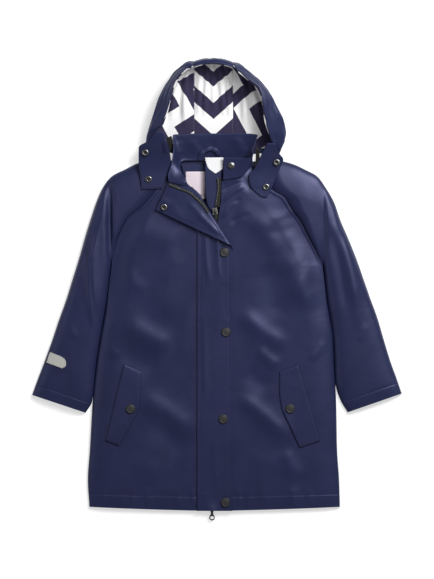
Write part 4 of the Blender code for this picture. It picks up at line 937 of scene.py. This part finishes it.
def front_offsets(width):
    """A front's columns: close together beside its stitches and edges."""
    stitches = EDGE_STITCH + np.array([-1.3, -0.6, 0.0, 0.6, 1.3])
    near = np.array([0.0, 0.4, 1.0, 1.8, 2.8, *stitches, 8.5])
    far = width - np.array([7.5, 4.5, 2.5, 1.2, 0.4, 0.0])
    return np.concatenate([near, np.linspace(near[-1], far[0], FRONT_COLUMNS + 2)[1:-1], far])


def front(side):
    """A front from the hem to the neck; above the underarm its edge follows the sleeve's seam."""
    table = np.asarray(SIDE[side], float)
    inside = INSIDE[side]
    rows = finer(0.0, table[-1, 3], FINE_STEP, (HEM_STITCH,))
    rows = np.concatenate([rows[rows < rows[-1] - FINE_STEP / 2], rows[-1:]])
    body = columns_at(table[:, 3], table, rows)
    seam = seam_of(side)
    share = share_along(seam)
    swell = SEAM_LINE - (SIDE_OUT + SEAM_LINE) * smooth_step((rows[-1] - rows) / SEAM_ROLL)
    outer = np.concatenate([body[:, :2] + np.outer(swell, (inside, 0.0)),
                            seam[:, :2] + (inside * SEAM_LINE, 0.0)])
    inner = np.concatenate([body[:, 2:], along(EDGE[side], np.linspace(0, 1, len(seam) + 1)[1:])])
    lift = SIDE_Z + UNDERARM_RISE * smooth_step(1 + (rows - rows[-1]) / UNDERARM)
    rise = np.maximum(seam[:, 2] - lift[-1], 0) * smooth_step(share / SEAM_MEET)
    edge_z = np.concatenate([lift, lift[-1] + rise])
    height = np.concatenate([rows, np.full(len(seam), ABOVE)])
    welts = np.concatenate([np.zeros(len(rows)), smooth_step(share / WELT_FADE)])
    creases = CREASES + puckers()
    grid = []
    for start, end, base, up, welted in zip(outer, inner, edge_z, height, welts):
        width = norm(end - start)
        off = front_offsets(width)
        across = off / width
        plan = start + (end - start) * across[:, None]
        x = plan[:, 0]
        y = plan[:, 1] - HEM_RISE * (across - across ** 2) * np.clip(1 - up / HEM_FADE, 0, 1) * 0.5
        soft = smooth_step(1 + (up - rows[-1]) / UNDERARM)
        roll = soft * smooth_step(off / SEAM_ROLL) + (1 - soft) * rounded(off / SIDE_ROLL)
        z = base + (crown(y) - base) * roll
        z = z + crease_height(creases, x, y) * rounded(off / CREASE_ROLL)
        welt = WELT_RISE * smooth_step((WELT_TO - off) / WELT_STEP) * rounded(off / WELT_STEP)
        z = z + furrow(up - HEM_STITCH) + welt * welted
        grid.append(np.column_stack([x, y, np.maximum(z, SIDE_Z)]))
    cloth("front_" + side, grid)


def back():
    """The back lies flat under the fronts, from the hem to the neck seam."""
    edges = []
    for side, inside in INSIDE.items():
        edge = resample(SIDE[side], 60)[:, :2]
        ease = smooth_step((edge[:, 1] - BACK_OUT_FROM[side]) / BACK_OUT_OVER)
        edge[:, 0] -= inside * (SIDE_OUT + BACK_OUT * ease)
        seam = seam_of(side)[:, :2].copy()
        fade = 1 - smooth_step((share_along(seam) - SEAM_MEET) / (1 - SEAM_MEET))
        seam[:, 0] -= inside * ((SIDE_OUT + BACK_OUT) * fade - SEAM_GAP * (1 - fade))
        edges.append(np.concatenate([edge, seam]))
    share = np.linspace(0, 1, 41)
    half = 1 - np.abs(2 * share - 1)
    rows = []
    for number, (one, two) in enumerate(zip(*edges)):
        row = one + (two - one) * share[:, None]
        fade = max(0.0, 1 - number / HEM_FADE_ROWS)
        row[:, 1] -= HEM_RISE * (half + half * 0.5 * (1 - half)) * fade
        rows.append(np.column_stack([row, np.full(len(row), CLOTH)]))
    cloth("back", rows)


# ---- hood

def bowed(x, y):
    """The hood's centre strip falls away beside its middle, more so towards the rim."""
    share = np.clip((y - HOOD_BOW_FROM) / HOOD_BOW_OVER, 0, 1)
    return y - HOOD_BOW * (x - HOOD_TOP_X) ** 2 * share


def hood_side(side, edge):
    """Side panel: each row runs from the centre strip along the ground, up and in to the rim."""
    strip_x = HOOD_STRIP[side]
    path = np.asarray(HOOD_PATH, float)
    numbers = np.arange(len(path))
    rows = []
    for row in resample(HOOD[side], 84):
        seam_y, seam_z = (smooth(numbers, path[:, k], row[0]) for k in (0, 1))
        points = np.array([(strip_x, bowed(strip_x, seam_y), seam_z), row[1:4], row[4:7], row[7:]])
        trim = edge / norm(np.diff(points, axis=0), axis=1).sum()
        rows.append(along(points, trim + (1 - (1 + RIM_TRIM) * trim) * np.linspace(0, 1, 46)))
    return np.array(rows)


def moved_in(grid, distance):
    """The hood's grid moved towards the bowl along its own normals."""
    normal = unit(np.cross(np.gradient(grid, axis=0), np.gradient(grid, axis=1)))
    if np.sum(normal * (np.array(BOWL) - grid)) < 0:
        normal = -normal
    return grid + normal * np.atleast_3d(distance)


def shares_of(grid):
    """How far up and across a grid its points lie, from 0 to 1."""
    rows, columns = grid.shape[:2]
    return np.linspace(0, 1, rows)[:, None], np.linspace(0, 1, columns)[None, :]


def dents(folds, up, across, fade, ease):
    """Depth of folds that run up a panel, each fading in and out at its ends."""
    total = 0.0
    for start, end, width, depth, low, high in folds:
        middle = start + (end - start) * (smooth_step((up - low) / (high - low)) if ease else up)
        ends = smooth_step((up - low) / fade) * smooth_step((high - up) / fade)
        total = total + depth * bell(across - middle, width) * ends
    return total


def wrinkled(place, grid):
    """The lining is loose: soft folds run down it, and it is flat at its seams."""
    up, across = shares_of(grid)
    flat = smooth_step(np.minimum(across, 1 - across) / 0.05)
    return moved_in(grid, dents(LINING_FOLDS[place], up, across, fade=0.12, ease=False) * flat)


def rolled_rim(place, grid):
    """The hood's front edge, turned under and stitched: it rounds over into the bowl, a little
    uneven, and the cloth behind it is dented."""
    up, across = shares_of(grid)
    depth = dents(HOOD_FOLDS[place], up, across, fade=0.08, ease=True)
    if place == "centre":
        return moved_in(grid, depth * smooth_step(np.minimum(across, 1 - across) / 0.08))
    at, width, height = RIM_HEM
    depth = depth + height * bell(across - at, width)
    grid = moved_in(grid, depth * smooth_step(across / 0.1))
    wave = sum(reach * bell(up - middle, width) for middle, width, reach in RIM_WAVES)
    ahead = unit(np.gradient(grid, axis=1))
    return grid + ahead * (wave * smooth_step((across - 0.8) / 0.2))[:, :, None]


def hood_print(place, grid):
    """Where each point of a lining panel lies in the print, by lengths along the cloth."""
    turn, shift_across, shift_up = PRINT[place]
    u, v = (np.cumsum(norm(np.diff(grid, axis=k), axis=2), axis=k) for k in (1, 0))
    u, v = np.pad(u, ((0, 0), (1, 0))) * MM, np.pad(v, ((1, 0), (0, 0))) * MM
    cos, sin = math.cos(math.radians(turn)), math.sin(math.radians(turn))
    return np.dstack([u * cos - v * sin + shift_across, u * sin + v * cos + shift_up])


def hood():
    """Three outer panels, each with its printed lining panel inside."""
    path = along(HOOD_PATH, np.linspace(0, 1, 90))
    for lining, depth, edge in ((False, 0.0, 0.1), (True, CLOTH + LINING_GAP, 0.05)):
        strip_x = np.linspace(HOOD_STRIP["right"] + edge, HOOD_STRIP["left"] - edge, 26)
        panels = {"centre": np.array([[(x, bowed(x, y), z) for x in strip_x] for y, z in path]),
                  "right": hood_side("right", edge), "left": hood_side("left", edge)}
        for place, grid in panels.items():
            grid = moved_in(grid, depth)
            if lining:
                first = 0 if place == "centre" else LINING_START
                uv = hood_print(place, grid)[first:].reshape(-1, 2)
                cloth("hood_lining_" + place, wrinkled(place, grid)[first:], THIN,
                      "printed_lining", inner_side=BOWL, uv=uv)
            else:
                cloth("hood_" + place, rolled_rim(place, grid), inner_side=BOWL)


# ---- hood tabs, collar, neck

def tabs():
    """The hood's front ends, lying on the shoulders, with the dark tape at their inner edges."""
    for side in SIDE:
        under = ("sleeve_" + side, "front_" + side)
        tape = laid(between(TAPE[side], 24, 9), under, THIN)
        cloth("hood_tape_" + side, tape, THIN, "zip_black")
        grid = laid(between(TAB[side], 56, 36), under, reach=2.5)
        grid = laid(grid, ["hood_tape_" + side], reach=5.0, passes=3)
        cloth("hood_tab_" + side, pillow(grid))


def neck():
    """What shows in the neck opening: back facing, label, zip guard and chin guard."""
    cloth("neck_facing", between(NECK_FACING, 30, 40, FACING_Z), THIN)
    label = laid(between(LABEL, 24, 24, LABEL_Z), ["neck_facing"], THIN, reach=0.0)
    cloth("neck_label", label, THIN, "label_cloth")
    cloth("zip_guard", between(GUARD, 50, 16, GUARD_Z))
    chin = between(CHIN_GUARD, 24, 20, GUARD_Z + GAP + THIN)
    cloth("chin_guard", chin, THIN, "white_lining")


def collar():
    """The collar stands round the neck, and its right end lies turned back on the storm flap."""
    grid = between(COLLAR, COLLAR_ROWS, 22)
    grid[COLLAR_LIES:] = laid(grid[COLLAR_LIES:], ["storm_flap"], reach=6.0)
    grid[COLLAR_EASED:] = eased(grid[COLLAR_EASED:], 30)
    grid = eased(grid, 3)
    grid[:, :, 2] += creased(COLLAR_FOLDS, grid)
    cloth("collar", grid)


def loop():
    """Hanging loop: a narrow strap in an arch on the collar's inner face."""
    tree = tree_of("collar")
    centre = along(LOOP_PATH, np.linspace(0, 1, 50))
    across = np.linspace(-1, 1, 9)
    drops = 0.4 * np.abs(across) ** 3
    grid = []
    for spot, out in zip(centre, sideways(centre, LOOP_WIDTH / 2)):
        row = [spot + out * k for k in across]
        z = max(top_of(tree, x, y, reach=2.0) for x, y in row) + GAP + CLOTH
        grid.append([(x, y, z - drop) for (x, y), drop in zip(row, drops)])
    cloth("hanging_loop", eased(np.array(grid), 2))


# ---- front edge

FOLD_ALONG = np.array(FOLD_B) - np.array(FOLD_A)
FOLD_ALONG = FOLD_ALONG / norm(FOLD_ALONG)
FOLD_ACROSS = np.array([-FOLD_ALONG[1], FOLD_ALONG[0]])


def zip_closed():
    """The closed zip under the storm flap: two tapes with the chain raised between the fronts."""
    rows = np.linspace(ZIP_START, ZIP_END, 120)
    lean = smooth((ZIP_START, ZIP_LEANS, ZIP_END), (0.0, 0.0, ZIP_SHIFT), rows)
    section = resample(ZIP_SECTION, 26)
    grid = [[(x + step, y, crown(y) - fall) for x, fall in section] for y, step in zip(rows, lean)]
    cloth("zip_closed", grid, THIN, "zip_black", kind="tape")


def storm_flap():
    """One cloth: flat over the zip, then turned back over the roll at its top corner."""
    tree = tree_of("front_right", "front_left", "sleeve_right", "hood_tab_right", "zip_closed",
                   "zip_bridge_bottom")
    bend = math.pi * FOLD_RADIUS
    lines = (FLAP_EDGES[0] + FLAP_STITCH, FLAP_EDGES[1] - EDGE_STITCH)
    across = finer(*FLAP_EDGES, FLAP_STEP, lines)
    flat_rows = finer(0.0, FLAP_FLAT, FINE_STEP, (HEM_STITCH,)) / FLAP_FLAT
    columns = []
    for x in across:
        # The flap begins to bend here, so that the bend reaches out to the line from A to B.
        start = FOLD_A[1] + (x - FOLD_A[0]) * FOLD_ALONG[1] / FOLD_ALONG[0]
        start -= FOLD_RADIUS / FOLD_ACROSS[1]
        column = [(x, y, top_of(tree, x, y, reach=7.0) + GAP + CLOTH) for y in start * flat_rows]
        reach = (FLAP_TOP - start) * FOLD_ACROSS[1]
        rest = bend + (reach - bend) * np.linspace(0, 1, 40)[1:]
        for s in np.concatenate([bend * np.linspace(0, 1, 19)[1:], rest]):
            foot = np.array([x, start + s / FOLD_ACROSS[1]]) - FOLD_ACROSS * s
            angle = math.pi * min(s / bend, 1.0)
            past = max(0.0, s - bend)
            spot = foot + FOLD_ACROSS * (FOLD_RADIUS * math.sin(angle) - past)
            lift = FOLD_RADIUS * (1 - math.cos(angle))
            base = top_of(tree, *spot, reach=6.0) + GAP + CLOTH
            column.append((*spot, base + lift - smooth(SINK_AT, SINK, past)))
        columns.append(column)
    grid = np.array(columns).transpose(1, 0, 2)
    first = len(flat_rows)
    grid[first:, :, 2] = np.maximum(grid[first:, :, 2], crown(FLAP_TOP) + GAP + CLOTH)
    grid = eased(grid, 4)
    turned = grid[first + CORNER_FOLDS:]
    turned[:, :, 2] += np.maximum(creased(LAPEL_FOLDS, turned), LOWEST_DENT)
    flat, x, y = grid[:first], grid[:first, :, 0], grid[:first, :, 1]
    flat[:, :, 2] += np.maximum(creased(FLAP_RIPPLES, flat), LOWEST_DENT)
    for line in lines:
        flat[:, :, 2] += furrow(across - line, share=0.7)
        grid[first:, :, 2] += furrow(across - line, share=0.3)
    place, height, half_width = RIDGE
    flat[:, :, 2] += height * bell(across - FLAP_EDGES[0] - place, half_width)
    flat[:, :, 2] += furrow(y - HEM_STITCH)
    place, half_width, length, rise = PULL_ROOM
    flat[:, :, 2] += rise * bell(x - place, half_width) * (1 - smooth_step(y / length))
    cloth("storm_flap", grid, first_up=True)

    near, far = (int(np.argmin(np.abs(across - line))) for line in lines)
    hem = np.argmin(np.abs(flat[:, 10, 1] - HEM_STITCH))
    return [grid[2:first, near], grid[2:first, far], grid[hem, 3:-3],
            grid[first + CORNER_STITCH:-2, far] + (0.0, 0.0, CLOTH),
            inset(grid[first + CORNER_TOP:], "top", EDGE_STITCH, (6.0, EDGE_STITCH), CLOTH)]


def facing():
    """The rolled edge and inside face of the right front, from the collar to the slider."""
    grid = []
    for row in resample(FACING_EDGE, 30):
        roll = row[:2] + FOLD_ACROSS * ROLL_OUT
        width = norm(roll - row[2:])
        out = (roll - row[2:]) / width
        # From the hidden edge over the roll to the inside face: how far out, and how high.
        profile = ((-3.0, -12.0), (-0.3, -10.0), (0.0, -6.0), (-0.6, -2.2), (-2.6, -0.5),
                   (-0.62 * width, 0.0), (-width, 0.0))
        profile = along(np.array(profile) + (0.0, ROLL_Z), np.linspace(0, 1, 26))
        grid.append([(*(roll + out * step), z) for step, z in profile])
    grid = np.array(grid)[:, ::-1]
    grid[:, :15] = laid(grid[:, :15], ["storm_flap"])
    cloth("facing_right", grid, first_up=True)


def zip_halves():
    """The open halves of the zip above the slider, with their teeth."""
    path = along(ZIP_RIGHT, np.linspace(0, 1, 60))
    right = np.array([[(*(spot + out * k), 0.0) for k in np.linspace(-1, 1, 9)]
                      for spot, out in zip(path, sideways(path, ZIP_HALF_WIDTH / 2))])
    right = laid(right, ["storm_flap"], THIN, reach=3.0, passes=2)
    left = between(ZIP_LEFT, 50, 8, ZIP_LEFT_Z)
    for side, grid, under in (("right", right, "storm_flap"), ("left", left, "front_left")):
        cloth("zip_half_" + side, grid, THIN, "zip_black", kind="tape")
    dashes("zip_teeth_right", [right[:, 4]], "teeth", TOOTH_PITCH, TOOTH)
    dashes("zip_teeth_left", [left[:, 1]], "teeth", TOOTH_PITCH, TOOTH)


# ---- pockets, patch, fasteners

def pockets():
    """The pockets' flaps, their turned edges resting on the fronts."""
    for side in SIDE:
        grid = laid(between(POCKET[side], 60, 26), ["front_" + side], reach=5.0, passes=3)
        grid[:, :, 2] += POCKET_LIFT
        cloth("pocket_flap_" + side, pillow(grid))


def patch():
    """The reflective patch sewn on the right sleeve."""
    grid = laid(between(PATCH, 24, 34), ["sleeve_right"], THIN, reach=3.0, passes=2)
    cloth("sleeve_patch", grid, THIN, "reflective_grey")


def fasteners():
    """Snap caps, sockets and the collar's stud, each on the highest point under it; black discs of
    painted shade sit in the sockets' holes and in the stud's dish.
    """
    def turned(node, kind, profile, radius, finish, under, spot, shade_disc=None):
        tree = tree_of(under)
        height = max(top_of(tree, *spot, radius * share) for share in (0.35, 0.7, 1.0))
        at = (*spot, height + SNAP_GAP)
        lathe(node + kind, profile, radius, at, finish, node)
        # A black disc painted as the shade in the socket's hole or the stud's dish.
        if shade_disc:
            lathe(node + shade_disc[0], shade_disc[1], radius, at, "zip_black", sides=24)

    cap = ("_cap", CAP, CAP_RADIUS, "gunmetal")
    socket = ("_ring", SOCKET, SOCKET_RADIUS, "nickel")
    # Black disc of painted shade in each socket's hole.
    well = ("_well", HOLE_SHADE)
    for number, spot in enumerate(FLAP_CAPS, 1):
        turned("snap_front_%d" % number, *cap, "storm_flap", spot)
    for side, *spot in POCKET_CAPS:
        turned("snap_pocket_" + side, *cap, "pocket_flap_" + side, spot)
    for place, *spot in TAB_SOCKETS:
        turned("snap_socket_" + place, *socket, "hood_tab_" + place.split("_")[0], spot, well)
    turned("snap_socket_flap", *socket, "storm_flap", FLAP_SOCKET, well)
    # The stud, with a black disc of painted shade in its dish.
    turned("snap_stud_collar", "_ring", STUD_RING, SOCKET_RADIUS, "nickel", "collar", STUD,
           ("_dish_shade", DISH_SHADE))


def hard_parts():
    """Sliders, bridges and pulls keep their solids, with a better finish."""
    for name, item in frame["nodes"].items():
        if name.startswith(("zip_slider", "zip_bridge", "zip_pull")):
            item.data.materials.clear()
            item.data.materials.append(LOOKS["slider" if "slider" in name else "gunmetal"])
            bevel(item, SOLID_BEVEL)


# ---- topstitching

def stitching(flap_lines):
    """Rows of stitches beside the seams and along the hem, cuffs, flaps and tabs."""
    for side, inside in INSIDE.items():
        grid = GRIDS["front_" + side]
        tree = tree_of("front_" + side)
        hem = grid[np.argmin(np.abs(grid[:, 0, 1] - (HEM_STITCH + SIDE_Y)))][4:-3]
        seam = grid[4 - FINE_RINGS:, 7]
        pocket = np.array(POCKET[side])[:, :2] + (-POCKET_SEAM * inside, 0.0)
        lines = (np.column_stack([hem[::6, 0], HEM_STITCH + hem[::6, 1] - hem[-1, 1]]),
                 seam[::3, :2], pocket)
        dashes("front_%s_stitches" % side, [on_top(tree, line) for line in lines])
        upper = GRIDS["sleeve_" + side][:, :FINE_RINGS]
        reach = norm(upper[:, 24] - upper[0, 24], axis=1)
        dashes("cuff_%s_stitches" % side, [upper[np.argmin(np.abs(reach - CUFF_STITCH)), 5:-5]])
        tab = rim_of(GRIDS["hood_tab_" + side], TAB_RIM, ("left", "right", "top"))
        dashes("hood_tab_%s_stitches" % side, tab)
        dashes("pocket_flap_%s_stitches" % side, rim_of(GRIDS["pocket_flap_" + side], POCKET_RIM))
    dashes("storm_flap_stitches", flap_lines)
    rim = rim_of(GRIDS["sleeve_patch"], PATCH_RIM)
    dashes("sleeve_patch_stitches", rim, "patch_thread", *PATCH_STITCH)


for side in SIDE:
    sleeve(side)
back()
for side in SIDE:
    front(side)
for make in (hood, tabs, neck, zip_closed):
    make()
flap_stitches = storm_flap()
for make in (collar, loop, facing, zip_halves, pockets, patch, fasteners):
    make()
stitching(flap_stitches)
hard_parts()


# ---- floor, light and camera

PHOTO_HEIGHT = 579  # pixels
PIXEL = 1.75  # millimetres at the table
TABLE_ZERO = 511.0  # the photo's row of pixels at the tables' y = 0
CAMERA_HEIGHT = 12.0  # metres
SHARP_HEIGHT = 0.012  # where the photo's scale holds
SENSOR = 36.0


def floor():
    """A plain pale floor just under the coat, which glows a little, so that it is even."""
    mesh = bpy.data.meshes.new("floor")
    half = 6.0
    z = -0.0006
    mesh.from_pydata([(-half, -half, z), (half, -half, z), (half, half, z), (-half, half, z)],
                     [], [(0, 1, 2, 3)])
    finish = bpy.data.materials.new("floor_white")
    finish.use_nodes = True
    settle(finish.node_tree.nodes["Principled BSDF"], Base_Color=(0.6, 0.6, 0.6, 1.0),
           Emission_Color=(1.0, 1.0, 1.0, 1.0), Emission_Strength=0.55, Roughness=0.9,
           Specular_IOR_Level=0.0)
    mesh.materials.append(finish)
    add_object("floor", mesh)


def softbox(name, at, width, height, power):
    """A soft light that looks at the coat's middle."""
    light = bpy.data.lights.new(name, "AREA")
    light.shape = "RECTANGLE"
    light.size = width
    light.size_y = height
    light.energy = power
    made = add_object(name, light)
    made.location = at
    made.rotation_euler = (-Vector(at)).to_track_quat("-Z", "Y").to_euler()


def camera():
    """Straight above the photo's middle, far away, with a long lens."""
    lens = bpy.data.cameras.new("camera")
    made = add_object("camera", lens)
    x, y, _ = placed((0.0, (TABLE_ZERO - PHOTO_HEIGHT / 2) * PIXEL, 0.0))
    made.location = (x, y, CAMERA_HEIGHT)
    lens.sensor_width = SENSOR
    lens.lens = SENSOR * (CAMERA_HEIGHT - SHARP_HEIGHT) / (PHOTO_HEIGHT * PIXEL * MM)
    lens.clip_end = 60.0
    bpy.context.scene.camera = made


def world():
    """A faint even light from all round."""
    made = bpy.data.worlds.new("studio")
    made.use_nodes = True
    settle(made.node_tree.nodes["Background"], Color=(1.0, 1.0, 1.0, 1.0), Strength=0.1)
    bpy.context.scene.world = made


floor()
softbox("key", (1.3, 1.5, 2.0), 1.0, 1.0, 70.0)
softbox("top", (0.55, 0.95, 2.4), 0.7, 0.5, 13.0)
softbox("fill", (-2.0, 0.4, 1.5), 1.8, 1.6, 8.0)
softbox("low", (0.2, -2.2, 1.4), 1.8, 1.0, 8.0)
bpy.context.scene.view_settings.view_transform = "Standard"
camera()
world()
